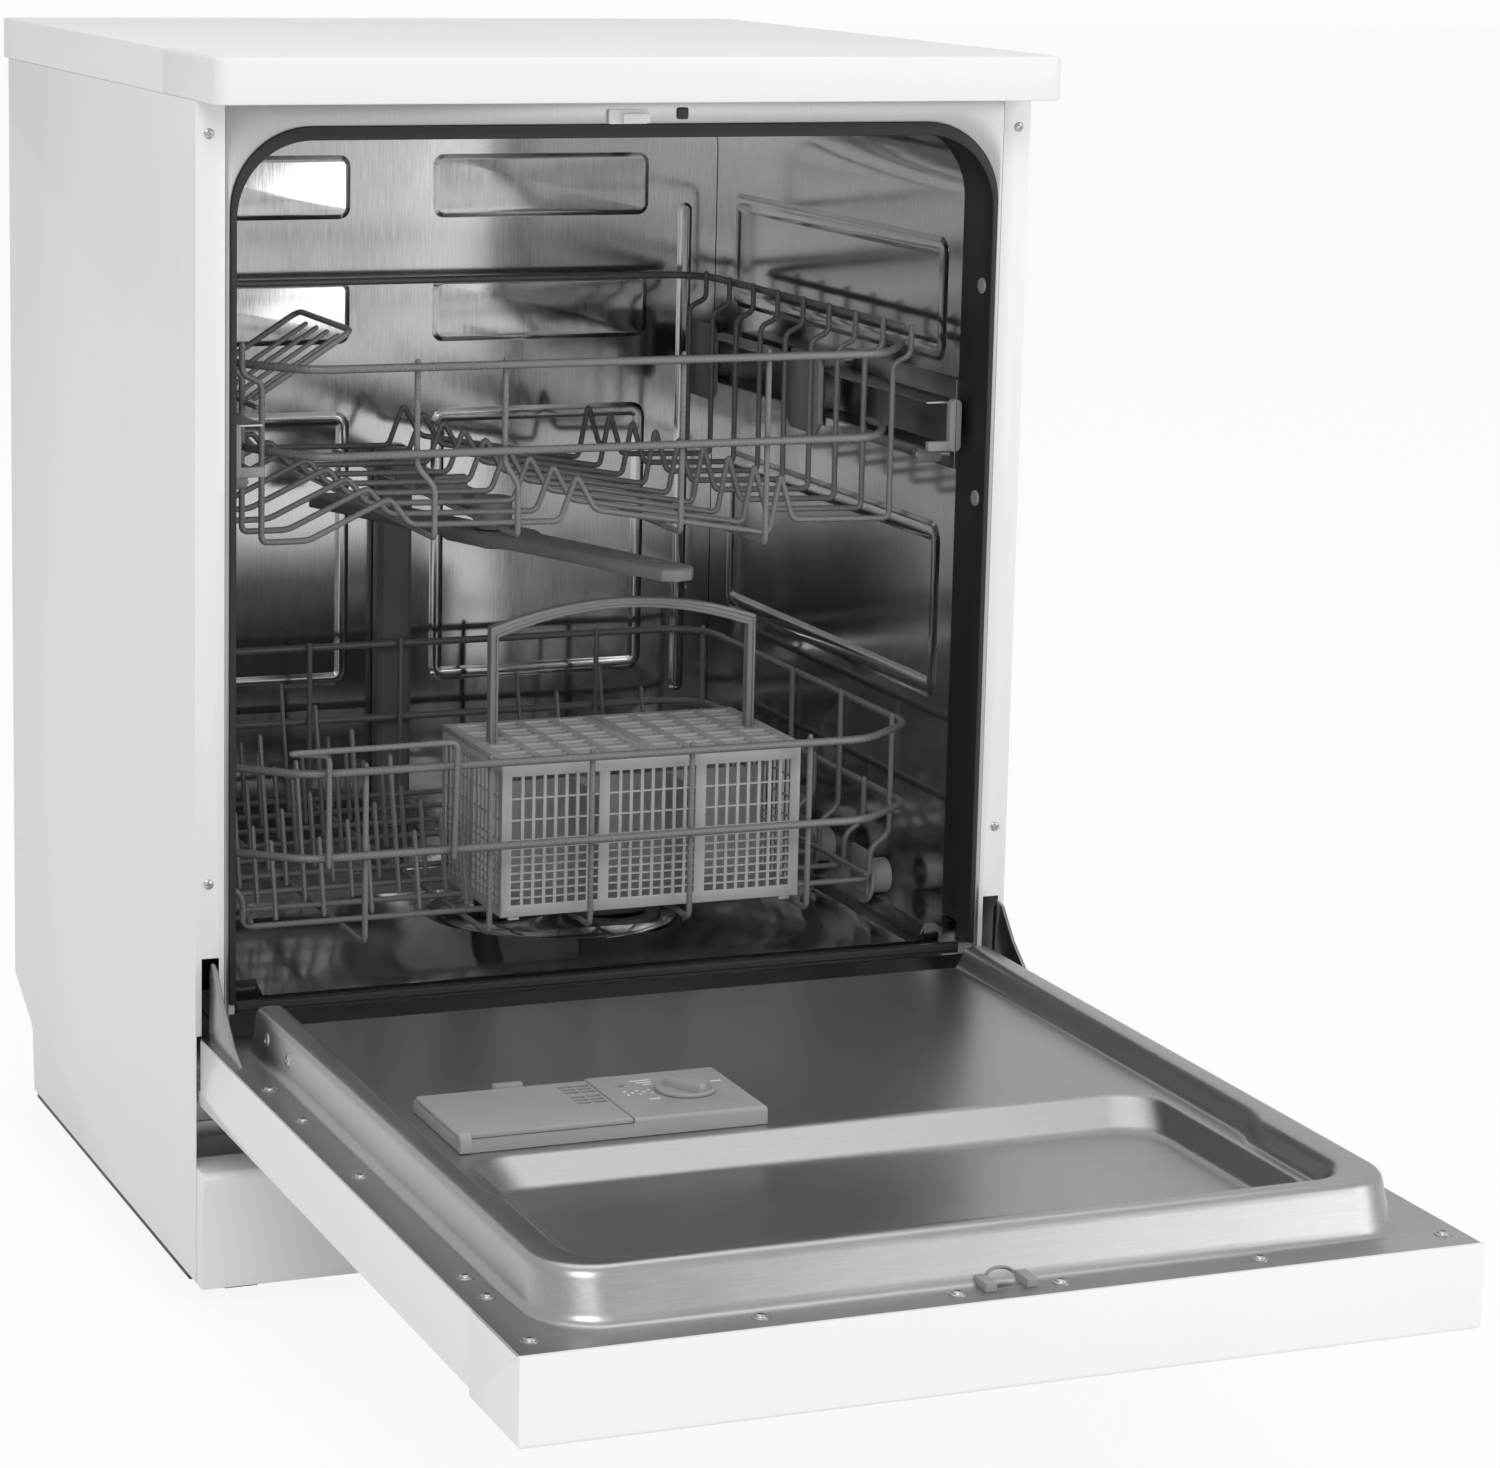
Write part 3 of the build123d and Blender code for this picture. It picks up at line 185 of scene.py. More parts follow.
# World and lamps: an even white room, a large soft lamp at the left front, a weaker one at the
# right front, an upright strip that the tub's steel mirrors, and one above.
room_light, room_seen = 0.64, 0.98
world = bpy.data.worlds.new("studio_world")
scene.world = world
world.use_nodes = True
room = Nodes(world.node_tree)
sky = room.tree.nodes["Background"]
room.feed(sky.inputs[0], white)
room.feed(sky.inputs[1], room_light)
bright = room.node("ShaderNodeBackground", sockets={0: white, 1: room_seen})
seen = room.node("ShaderNodeLightPath", out="Is Camera Ray")
choice = room.node("ShaderNodeMixShader", sockets={0: seen, 1: Shade(room, sky.outputs[0]), 2: bright})
room.feed(room.tree.nodes["World Output"].inputs[0], choice)


def lamp(name, place, target, size, power):
    """A soft rectangular lamp that faces a point."""
    data = bpy.data.lights.new(name, "AREA")
    data.shape = "RECTANGLE"
    data.size, data.size_y = size
    data.energy = power
    lamp_object = bpy.data.objects.new(name, data)
    scene.collection.objects.link(lamp_object)
    facing = (Vector(target) - Vector(place)).to_track_quat("-Z", "Y")
    lamp_object.matrix_world = Matrix.Translation(place) @ facing.to_matrix().to_4x4()


lamp("key_lamp", (-1.6, -3.2, 3.2), (0, 0, 0.4), (2.4, 1.6), 48)
lamp("fill_lamp", (2.8, -2.4, 1.8), (0, 0, 0.4), (1.6, 2.2), 18)
lamp("strip_lamp", (1.8, -3.2, 1.1), (0, 0, 0.7), (0.7, 1.8), 9)
lamp("top_lamp", (0.3, 0.4, 3.4), (0, 0, 0.8), (2.4, 2.4), 17)


# Worktop: a laminated board, white, with chamfered rear corners, screwed down on the cabinet;
# its front and front corners are wrapped by a moulded trim, whose joint shows as a fine line.
def painted(name, grey, rough, grain=900.0, depth=0.00002, coat=0.0, spread=0.03):
    """A finish with a fine skin: its grey varies a little, and its gloss with it."""
    finish = Finish(name)
    spot = finish.place()
    broad = finish.noise(spot, 9.0, 3.0)
    fine = finish.noise(spot, grain, 2.0)
    low, high = grey * (1 - spread), min(grey * (1 + spread), 1.0)
    gloss_spread = 0.08
    finish.set(
        Base_Color=finish.ramp(broad * 0.6 + fine * 0.4, low, high),
        Roughness=broad * gloss_spread + fine * gloss_spread + (rough - gloss_spread),
        Coat_Weight=coat,
    )
    finish.bump(fine, 0.5, depth)
    return finish.material


def fit(piece, body, material, slot, *nodes):
    """Gives a finished piece its material and its body, and hides the nodes it stands for; the slot is not
    used.
    """
    piece.data.materials.clear()
    piece.data.materials.append(material)
    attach(piece, body)
    if nodes:
        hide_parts(*nodes)
    return piece


def pick_only(piece):
    """Leaves one object selected and active."""
    bpy.ops.object.select_all(action="DESELECT")
    piece.select_set(True)
    bpy.context.view_layer.objects.active = piece


sharp_angle, smooth_angle = math.radians(30), math.radians(38)


def rounded_edges(piece, radius, segments=2):
    """Rounds a piece's sharp edges and shades what is left smooth."""
    pick_only(piece)
    if radius:
        bevel = piece.modifiers.new("edge", "BEVEL")
        bevel.width = radius * MM
        bevel.segments = segments
        bevel.limit_method = "ANGLE"
        bevel.angle_limit = sharp_angle
        bpy.ops.object.modifier_apply(modifier=bevel.name)
    bpy.ops.object.shade_smooth_by_angle(angle=smooth_angle)


same_point, flat_angle = 0.000004, math.radians(1.5)


def dressed(node, material, slot, radius, segments=2):
    """A copy of a node's solid, its facets joined and its edges rounded, that stands for it."""
    original = frame["nodes"][node]
    piece = bpy.data.objects.new(node + "_finished", original.data.copy())
    scene.collection.objects.link(piece)
    pick_only(piece)
    bpy.ops.mesh.customdata_custom_splitnormals_clear()
    bpy.ops.object.mode_set(mode="EDIT")
    bpy.ops.mesh.select_all(action="SELECT")
    bpy.ops.mesh.remove_doubles(threshold=same_point)
    bpy.ops.mesh.dissolve_limited(angle_limit=flat_angle)
    bpy.ops.object.mode_set(mode="OBJECT")
    rounded_edges(piece, radius, segments)
    return fit(piece, original["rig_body"], material, slot, node)


laminate = painted("laminate", 0.85, 0.34, grain=500, depth=0.00004, spread=0.015)
white_moulded = painted("white_moulded", 0.86, 0.36, grain=1400, spread=0.01)
dressed("worktop", laminate, "laminate", 0.8)
dressed("worktop_trim", white_moulded, "white_plastic", 2.5, 3)

# Side panels: enamelled steel sheet folded round the front posts, cut back at the foot, with a
# slot in each post for the hinge arm.
white_enamel = painted("white_enamel", 0.83, 0.3, coat=0.3, spread=0.012)
dressed("right_side_panel", white_enamel, "white_sheet", 0.35)
dressed("left_side_panel", white_enamel, "white_sheet", 0.35)


# Post screws: small zinc-plated screws, two in each front post, that hold the side panels to the
# frame; each head is domed and has a cross recess.
def raw_mesh(name, points, edges, faces):
    """A new object from points in millimetres, with loose edges or with faces."""
    mesh = bpy.data.meshes.new(name)
    mesh.from_pydata([Vector(p) * MM for p in points], edges, faces)
    piece = bpy.data.objects.new(name, mesh)
    scene.collection.objects.link(piece)
    return piece


def skin(name, rings, closed_ring=True, loop=False, caps=True):
    """A mesh through rings of points, in millimetres, that all have the same number of points."""
    count = len(rings[0])
    points = [p for ring in rings for p in ring]
    faces = []
    pairs = list(zip(range(len(rings)), range(1, len(rings))))
    if loop:
        pairs.append((len(rings) - 1, 0))
    for low, high in pairs:
        for i in range(count if closed_ring else count - 1):
            j = (i + 1) % count
            faces.append((low * count + i, low * count + j, high * count + j, high * count + i))
    if caps and not loop:
        faces.append(tuple(reversed(range(count))))
        faces.append(tuple(range(len(points) - count, len(points))))
    piece = raw_mesh(name, points, [], faces)
    pick_only(piece)
    bpy.ops.object.mode_set(mode="EDIT")
    bpy.ops.mesh.select_all(action="SELECT")
    bpy.ops.mesh.normals_make_consistent(inside=False)
    bpy.ops.object.mode_set(mode="OBJECT")
    return piece


def round_ring(centre, radius, axis, sides=16, star=None):
    """Points on a circle about an axis; a star's points step in and out for a cross recess."""
    turn = Vector(axis).to_track_quat("Z", "Y")
    ring = []
    for i in range(sides):
        angle = 2 * math.pi * i / sides
        reach = radius if star is None else (radius if i % 4 < 2 else star)
        ring.append(Vector(centre) + turn @ Vector((reach * math.cos(angle), reach * math.sin(angle), 0)))
    return ring


def joined(name, pieces):
    """Several new meshes made one piece."""
    pick_only(pieces[0])
    for other in pieces[1:]:
        other.select_set(True)
    bpy.ops.object.join()
    pieces[0].name = name
    pieces[0].data.name = name
    return pieces[0]


def put_together(name, pieces, radius, body, material, slot, *nodes):
    """Several new meshes made one finished piece, its sharp edges rounded by a radius."""
    piece = joined(name, pieces)
    rounded_edges(piece, radius)
    return fit(piece, body, material, slot, *nodes)


def screws(name, seats, axis, radius, body, washer=0.0):
    """Cross-head screws, with or without washers, that stand up along an axis from their seats."""
    # radius, height above the seat, and the radius between the arms of a cross recess
    foot = [(radius, -0.4, None)]
    head = [(radius, 0.5, None), (radius * 0.8, 1.1, None)]
    head += [(radius * 0.55, 1.3, 0.25 * radius), (radius * 0.5, 0.3, 0.2 * radius)]
    if washer:
        foot = [(washer, -0.4, None), (washer, 0.5, None)]
        foot += [(washer * 0.94, 0.7, None), (radius * 1.05, 0.7, None)]
        head = [(reach, lift + 0.6, star) for reach, lift, star in head]
    made = []
    for seat in seats:
        rings = []
        for reach, lift, star in foot + head:
            rings.append(round_ring(Vector(seat) + Vector(axis) * lift, reach, axis, 16, star))
        made.append(skin(name + "_one", rings))
    return put_together(name, made, 0, body, screw_zinc, "zinc_steel")


def brushed(name, grey, rough, stretch, contrast=0.12, wave=0.0):
    """Rolled or brushed steel: long fine lines along one way, and soft broad clouds of polish."""
    finish = Finish(name)
    lines = finish.noise(finish.place(stretch), 700.0, 4.0, 0.65)
    clouds = finish.noise(finish.place(), 6.0, 3.0)
    finish.set(
        Base_Color=finish.ramp(lines * 0.5 + clouds * 0.5, grey * (1 - contrast), grey * (1 + contrast)),
        Roughness=lines * 0.12 + clouds * 0.1 + (rough - 0.11),
        Metallic=1.0,
    )
    depth = 0.00003
    height = lines
    if wave:
        height = lines + finish.noise(finish.place((1, 1, 0.5)), 8.0, 1.0) * (wave / depth)
    finish.bump(height, 0.4, depth)
    return finish.material


screw_zinc = brushed("screw_zinc", 0.5, 0.3, (1, 1, 1), contrast=0.15)
post_middle, small_head = 290, 3.4
post_seats = [(side * post_middle, 0, level) for side in (-1, 1) for level in (794, 297)]
screws("post_screws", post_seats, (0, -1, 0), small_head, "cabinet")

# Rear panel: a zinc-coated sheet that closes the back, stiffened by beads pressed out of it; four
# screws along each side hold it to the cabinet.
zinc_sheet = brushed("zinc_sheet", 0.5, 0.42, (0.3, 1, 1), contrast=0.1)
dressed("rear_panel", zinc_sheet, "zinc_steel", 0.5)


def rounded_outline(half_width, half_height, corner, steps=6):
    """Points round a rectangle with round corners, about its own middle."""
    outline = []
    for turn, (sx, sy) in enumerate(((1, 1), (-1, 1), (-1, -1), (1, -1))):
        for i in range(steps + 1):
            angle = math.pi / 2 * (turn + i / steps)
            u = sx * (half_width - corner) + corner * math.cos(angle)
            v = sy * (half_height - corner) + corner * math.sin(angle)
            outline.append((u, v))
    return outline


def pressing(name, centre, across, up, half_width, half_height, corner, rise, slope, band=0):
    """A pad pressed out of a wall, or a frame if it has a band's width; it stands on the wall."""
    across, up = Vector(across), Vector(up)
    out = across.cross(up)
    steps = [(0, -0.6), (0, 0.05), (slope * 0.3, rise * 0.3), (slope * 0.7, rise * 0.86), (slope, rise)]
    if band:
        steps += [(band - inset, lift) for inset, lift in reversed(steps)]
    rings = []
    for inset, lift in steps:
        outline = rounded_outline(half_width - inset, half_height - inset, max(corner - inset, 1.5))
        rings.append([Vector(centre) + across * u + up * v + out * lift for u, v in outline])
    return skin(name, rings, loop=bool(band))


panel_back, bead_rise = 528.8, 2.2
leftwards, upwards = (-1, 0, 0), (0, 0, 1)
# middle, half width, half height, corner and slope of each bead
bead_sizes = [((x, panel_back, 440), 13, 260, 13, 6) for x in (-180, 0, 180)]
bead_sizes += [((0, panel_back, 755), 240, 11, 11, 5), ((0, panel_back, 130), 240, 8, 8, 4)]
rear_beads = []
for middle, wide, high, corner, slope in bead_sizes:
    bead = pressing("rear_bead", middle, leftwards, upwards, wide, high, corner, bead_rise, slope)
    rear_beads.append(bead)
put_together("rear_panel_beads", rear_beads, 0, "cabinet", zinc_sheet, "zinc_steel")
rear_seats = [(292 * side, 530, level) for side in (-1, 1) for level in (130, 350, 570, 790)]
screws("rear_screws", rear_seats, (0, 1, 0), small_head, "cabinet")

# Plinth, base tray and feet: an enamelled kick panel clips on the front of a black moulded tray,
# which carries the works and stands on four moulded feet that screw up and down.
black_moulded = painted("black_moulded", 0.03, 0.5, spread=0.2)
dressed("plinth", white_enamel, "white_sheet", 1.2)
dressed("base_tray", black_moulded, "black_plastic", 0.6)
dressed("levelling_feet", black_moulded, "black_plastic", 0.8)


# Base cover: a folded sheet of the rear panel's zinc-coated steel behind the kick panel, which
# closes the base below the door.
def bars(low, high, step=(0, 0, 0), count=1):
    """A bar between two corners, repeated at equal steps."""
    bpy.ops.object.select_all(action="DESELECT")
    bpy.ops.mesh.primitive_cube_add(size=1)
    bar = bpy.context.object
    low, high = Vector(low), Vector(high)
    for vertex in bar.data.vertices:
        share = vertex.co + Vector((0.5, 0.5, 0.5))
        vertex.co = Vector(a + (b - a) * t for a, b, t in zip(low, high, share)) * MM
    if count > 1:
        repeat = bar.modifiers.new("repeat", "ARRAY")
        repeat.count = count
        repeat.use_relative_offset = False
        repeat.use_constant_offset = True
        repeat.constant_offset_displace = Vector(step) * MM
        bpy.ops.object.modifier_apply(modifier=repeat.name)
    return bar


cover_half, cover_front, cover_back = 296.8, 22.4, 69.4
cover_foot, cover_top, cover_sheet = 100.3, 112, 1.0
cover = [
    bars((-cover_half, cover_front, cover_foot), (cover_half, cover_back, cover_foot + cover_sheet)),
    bars((-cover_half, cover_back - cover_sheet, cover_foot), (cover_half, cover_back, cover_top)),
]
put_together("base_cover_sheet", cover, 0.2, "cabinet", zinc_sheet, "zinc_steel")

# Works in the base: the pumps, sump, softener and water connections are mouldings; crossmember,
# brackets and springs are plated steel. They show only from below or behind, so their own
# meshes stay, with these finishes.
grey_moulded = painted("grey_moulded", 0.2, 0.42, spread=0.05)
pale_moulded = painted("pale_moulded", 0.3, 0.42, spread=0.04)
works = {
    "base_crossmember": zinc_sheet, "hinge_brackets": zinc_sheet, "hinge_springs": zinc_sheet,
    "sump": grey_moulded, "circulation_pump": black_moulded, "drain_pump": black_moulded,
    "water_softener": pale_moulded, "water_connections": grey_moulded,
}
for name, material in works.items():
    node = frame["nodes"][name]
    node.data.materials.clear()
    node.data.materials.append(material)

# Tub's wrapper: one bright stainless sheet bent into roof and sides; frames pressed into its
# sides stiffen them.
tub_steel = brushed("tub_steel", 0.56, 0.14, (1, 1, 0.06), contrast=0.2, wave=0.0012)
tub_half, tub_roof, tub_corner, tub_foot = 276.5, 799.0, 56.0, 204.8
tub_mouth, tub_back, tub_sheet, arc_steps = 1.4, 509.0, 1.0, 12
arch_inside, arch_outside = [], []
for reach, route in ((tub_sheet, arch_inside), (0, arch_outside)):
    side, corner = tub_half - reach, tub_corner - reach
    top = tub_roof - reach
    route.append((side, tub_foot))
    for turn in (0, 1):
        for i in range(arc_steps + 1):
            angle = math.pi / 2 * (turn + i / arc_steps)
            middle = (side - corner) * (1 - 2 * turn)
            route.append((middle + corner * math.cos(angle), top - corner + corner * math.sin(angle)))
    route.append((-side, tub_foot))
arch_section = arch_inside + arch_outside[::-1]
wrapper = [skin("wrapper_sheet", [[(x, y, z) for x, z in arch_section] for y in (tub_mouth, tub_back)])]
for side in (-1, 1):
    for level, half_height in ((666, 45), (440, 65)):
        middle = (side * (tub_half - tub_sheet), 272, level)
        wrapper.append(
            pressing("side_frame", middle, (0, -side, 0), upwards, 198, half_height, 14, 1.6, 4.5, band=15)
        )
put_together("tub_wrapper_pressed", wrapper, 0, "cabinet", tub_steel, "stainless", "tub_wrapper")

# Tub's rear wall: a sheet of the same steel, pressed with pads, frames and beads that stiffen it,
# and rolled onto the wrapper's rear edge.
rightwards = (1, 0, 0)
rear_face, rear_sheet, rear_rise = tub_back - 2, 1.2, 1.8
rear_rings = []
for y in (rear_face, rear_face + rear_sheet):
    rear_rings.append([(x * 0.9985, y, min(z, tub_roof - 1.5)) for x, z in arch_inside])
rear_wall = [skin("rear_sheet", rear_rings)]
for x in (-125, 125):
    for level in (716, 618):
        middle = (x, rear_face, level)
        rear_wall.append(pressing("pad", middle, rightwards, upwards, 91, 25, 9, rear_rise, 4.5))
    middle = (x, rear_face, 430)
    rear_wall.append(pressing("frame", middle, rightwards, upwards, 91, 110, 12, rear_rise, 4, band=11))
for x in (-248, 248):
    rear_wall.append(pressing("bead", (x, rear_face, 500), rightwards, upwards, 6, 200, 6, rear_rise, 3))
put_together("tub_rear_wall_pressed", rear_wall, 0, "cabinet", tub_steel, "stainless", "tub_rear_wall")

# Tub's floor: a deep pressing of the same steel, with the funnel to the sump in its middle and
# the ledges that the lower rack's wheels run on, welded into the wrapper's foot.
dressed("tub_floor", tub_steel, "stainless", 0)

# Front frame: a satin steel surround welded to the tub's mouth; the small black cap on its header
# covers a test hole.
front_steel = brushed("front_steel", 0.44, 0.34, (1, 1, 0.06))
dressed("front_frame", front_steel, "stainless", 0.3)


def button(name, centre, axis, half_width, half_height, corner, height, soft):
    """A low cap with a rounded outline and a soft edge, standing up along an axis."""
    out = Vector(axis)
    across = Vector((1, 0, 0)) if abs(out.x) < 0.9 else Vector((0, 1, 0))
    up = out.cross(across)
    rings = []
    for inset, lift in ((0, -0.5), (0, height - soft), (soft * 0.3, height - soft * 0.3), (soft, height)):
        outline = rounded_outline(half_width - inset, half_height - inset, corner - inset * 0.6, 4)
        rings.append([Vector(centre) + across * u + up * v + out * lift for u, v in outline])
    piece = skin(name, rings)
    rounded_edges(piece, 0)
    return piece


header_cap = button("header_cap", (38.6, 0, 805), (0, -1, 0), 4, 4, 1.6, 1.4, 0.6)
fit(header_cap, "cabinet", black_moulded, "black_plastic")


# Blanking caps: small pale moulded discs pushed into two holes in each jamb of the front frame,
# beside the door seal.
def turned(name, centre, axis, profile, sides=40):
    """A round piece from a list of (distance along the axis, radius) steps; it is closed."""
    start, way = Vector(centre), Vector(axis)
    rings = [round_ring(start + way * along, reach, axis, sides) for along, reach in profile]
    return skin(name, rings, loop=True)


cap_profile = [(-1, 0.3), (-1, 5.6), (0.9, 5.6), (1.5, 5.0), (1.7, 0.3)]
caps = []
for side in (-1, 1):
    for level in (683, 533):
        caps.append(turned("cap", (side * 271.6, 11, level), (-side, 0, 0), cap_profile, 24))
put_together("jamb_caps", caps, 0, "cabinet", pale_moulded, "light_grey_plastic")

# Door seal: black rubber pushed into a channel round the tub's mouth, with an outer and an inner
# lip; another lip lies along the sill.
black_rubber = painted("black_rubber", 0.018, 0.55, grain=700, spread=0.25)
dressed("door_gasket", black_rubber, "black_rubber", 0.5)

# Strike: a white moulded plate clipped into the header, with a thicker block at its right that
# the door's latch catches.
strike_z, forwards = 803.1, (0, -1, 0)
strike = [
    button("strike_plate", (-1, 0, strike_z), forwards, 14, 4.9, 1.2, 2.6, 0.5),
    button("strike_block", (3.4, -2, strike_z - 0.9), forwards, 9.6, 3.2, 1.0, 4.8, 0.7),
]
put_together("door_strike_moulded", strike, 0, "cabinet", white_moulded, "white_plastic", "door_strike")

# Spray arms and their feeds: hollow grey mouldings with jet slots. The lower arm turns on the
# sump's bearing, and the upper one hangs from the pipe that docks on the duct behind the rack.
for node in ("lower_spray_arm", "upper_spray_arm", "upper_feed_pipe", "rear_feed_duct"):
    dressed(node, grey_moulded, "grey_plastic", 0.8)

# Sump cover, micro filter and salt cap: a steel plate lies over the sump, the round filter with
# its grip turns into the plate's hole, and a moulded cap screws down on the softener.
dressed("filter_plate", tub_steel, "stainless", 0.3)
dressed("micro_filter", grey_moulded, "grey_plastic", 0.6)
dressed("salt_cap", grey_moulded, "grey_plastic", 0.8)

# Slide rails of the upper rack: open steel channels between guide rollers, with moulded caps on
# their front ends; the rollers turn on pins riveted to plates on the tub's sides.
dressed("upper_rails", front_steel, "stainless", 0.3)
dressed("roller_plates", front_steel, "stainless", 0.3)
rail_ends = []
for side in (-1, 1):
    rail_ends.append(button("rail_cap", (side * 263.6, 35.0, 582), forwards, 4.6, 18.8, 4.4, 5.2, 1.0))
    rail_ends.append(button("rail_stop", (side * 254.0, 35.0, 567.5), forwards, 11, 3.4, 1.2, 4.2, 0.8))
put_together(
    "rail_caps_moulded", rail_ends, 0, "upper_rails", pale_moulded, "light_grey_plastic", "rail_caps"
)

# Guide rollers and rack wheels: pale mouldings with soft edges. The guide rollers turn on pins of
# the plates on the tub's sides, and the upper rack's wheels on pins of its carriers.
def rollers(node, y, level, radius, width, inner):
    """A pair of plain rollers with soft edges, one at each side of the machine."""
    half = [(0, 3.05), (0, radius - 2.4), (0.5, radius - 2), (0.5, radius - 1), (1, radius)]
    profile = half + [(width - along, reach) for along, reach in reversed(half)]
    made = [turned("roller", (side * inner, y, level), (side, 0, 0), profile) for side in (-1, 1)]
    body = frame["nodes"][node]["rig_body"]
    return put_together(node + "_turned", made, 0, body, pale_moulded, "light_grey_plastic", node)


rollers("front_guide_rollers", 60, 558.4, 6.5, 18, 247.2)
rollers("rear_guide_rollers", 230, 605.6, 6.5, 18, 247.2)
rollers("upper_front_wheels", 236, 582, 15.1, 14, 247)
rollers("upper_rear_wheels", 440, 582, 15.1, 14, 247)
dressed("upper_wheel_carriers", pale_moulded, "light_grey_plastic", 0.8)

# Lower rack: bent and welded steel wire with a grey nylon coating. Two heavy rims, ribs that
# cross under the floor, and straight plate supports that lean back.
coated_wire = painted("coated_wire", 0.19, 0.28, grain=600, depth=0.00005, spread=0.08)


def softened(points, reach):
    """A run of points whose inner corners are rounded off by up to a distance on each side."""
    steps = 4
    soft = [points[0]]
    for before, here, after in zip(points, points[1:], points[2:]):
        cut_in = min(reach, (here - before).length * 0.45)
        cut_out = min(reach, (after - here).length * 0.45)
        start = here + (before - here).normalized() * cut_in
        end = here + (after - here).normalized() * cut_out
        for i in range(steps + 1):
            t = i / steps
            soft.append(start * (1 - t) ** 2 + here * 2 * t * (1 - t) + end * t**2)
    return soft + [points[-1]]


def wires(name, routes, radius, bend, sides=2):
    """Round wires along straight runs, with rounded bends and domed ends, as one piece."""
    curve = bpy.data.curves.new(name, "CURVE")
    curve.dimensions = "3D"
    curve.bevel_depth = radius * MM
    curve.bevel_resolution = sides
    curve.use_fill_caps = True
    for route in routes:
        run = [Vector(p) for p in route]
        ways = ((run[1] - run[0]).normalized(), (run[-2] - run[-1]).normalized())
        run = softened(run, bend)
        for place, lift in ((1, 0.5), (2, 1.2)):
            run.insert(place, run[0] + ways[0] * radius * lift)
            run.insert(-place, run[-1] + ways[1] * radius * lift)
        spline = curve.splines.new("POLY")
        spline.points.add(len(run) - 1)
        for point, place in zip(spline.points, run):
            point.co = (*(place * MM), 1)
        for index, share in ((0, 0.45), (1, 0.85), (2, 1), (-1, 0.45), (-2, 0.85), (-3, 1)):
            spline.points[index].radius = share
    piece = bpy.data.objects.new(name, curve)
    scene.collection.objects.link(piece)
    pick_only(piece)
    bpy.ops.object.convert(target="MESH")
    piece = bpy.context.object
    bpy.ops.object.shade_smooth_by_angle(angle=math.radians(50))
    return piece


rim_wire, thin_wire, weld_gap = 2.9, 2.2, 0.15
wire_step = rim_wire + thin_wire + weld_gap
lower_half, lower_floor_half, lower_front, rack_back = 258.0, 238.0, 42.0, 480.0
lower_top, lower_middle, lower_floor = 357.0, 298.0, 239.2
corner_cut, slant_back, slant_in = 22, 42, 51


def closed_rim(level):
    """A rim wire with slanted front corners, butt-joined at the middle of the back."""
    right = [(0.2, rack_back), (lower_half - corner_cut, rack_back), (lower_half, rack_back - corner_cut)]
    right += [(lower_half, lower_front + slant_back), (lower_half - slant_in, lower_front)]
    left = [(-x, y) for x, y in reversed(right)]
    return [(x, y, level) for x, y in right + left]


rib_end, middle_rib_end, knee_foot, knee_top = 5, 7, 262, 272
cross_ys = [98 + 45.5 * i for i in range(9)]
side_inner = lower_half - wire_step
ribs = []
for i, y in enumerate(cross_ys):
    tip = lower_top + rib_end if i % 2 == 0 else lower_middle + middle_rib_end
    right = [(lower_floor_half, y, lower_floor), (lower_floor_half, y, knee_foot)]
    right += [(side_inner, y, knee_top), (side_inner, y, tip)]
    ribs.append([(-x, wire_y, z) for x, wire_y, z in reversed(right)] + right)
front_inner, back_inner = lower_front + wire_step, rack_back - wire_step
bottom_level = lower_floor - 2 * thin_wire - weld_gap
tip = lower_top + rib_end
lengthwise = ((front_inner, tip), (front_inner, bottom_level), (back_inner, bottom_level), (back_inner, tip))
for x in (-165.5, -75, 0, 75, 165.5):
    ribs.append([(x, y, z) for y, z in lengthwise])
floor_rail_x = lower_floor_half - 2 * thin_wire - weld_gap
floor_rail_z = lower_floor + 2 * thin_wire + weld_gap
for side in (-1, 1):
    ribs.append([(side * floor_rail_x, y, floor_rail_z) for y in (92, 468)])
grip_y = lower_front - wire_step
grip = [(-195, grip_y, 292), (-195, grip_y, 371), (-226, grip_y - 6, 375)]
grip += [(-105, grip_y - 6, 376), (-105, grip_y, 292)]
tine_lean, tine_step, short_tine, long_tine = math.radians(14), 35, 56, 100
tine_base = lower_floor + thin_wire + 0.8
tine_way = Vector((0, math.sin(tine_lean), math.cos(tine_lean)))
tines = []
for i, y in enumerate(cross_ys[:-1]):
    for first_x in (-214, 50) if i >= 3 else (-214,):
        for k in range(5):
            length = long_tine if i % 2 and k % 2 else short_tine
            foot = Vector((first_x + tine_step * k, y, tine_base))
            tines.append([foot, foot + tine_way * length])
lower_rack = joined(
    "lower_rack_wirework",
    [
        wires("rims", [closed_rim(lower_top), closed_rim(lower_middle)], rim_wire, 16),
        wires("ribs", ribs, thin_wire, 7),
        wires("grip", [grip], thin_wire, 6),
        wires("tines", tines, thin_wire - 0.3, 3, sides=1),
    ],
)
fit(lower_rack, "lower_rack", coated_wire, "grey_coated_wire", "lower_rack_wires")

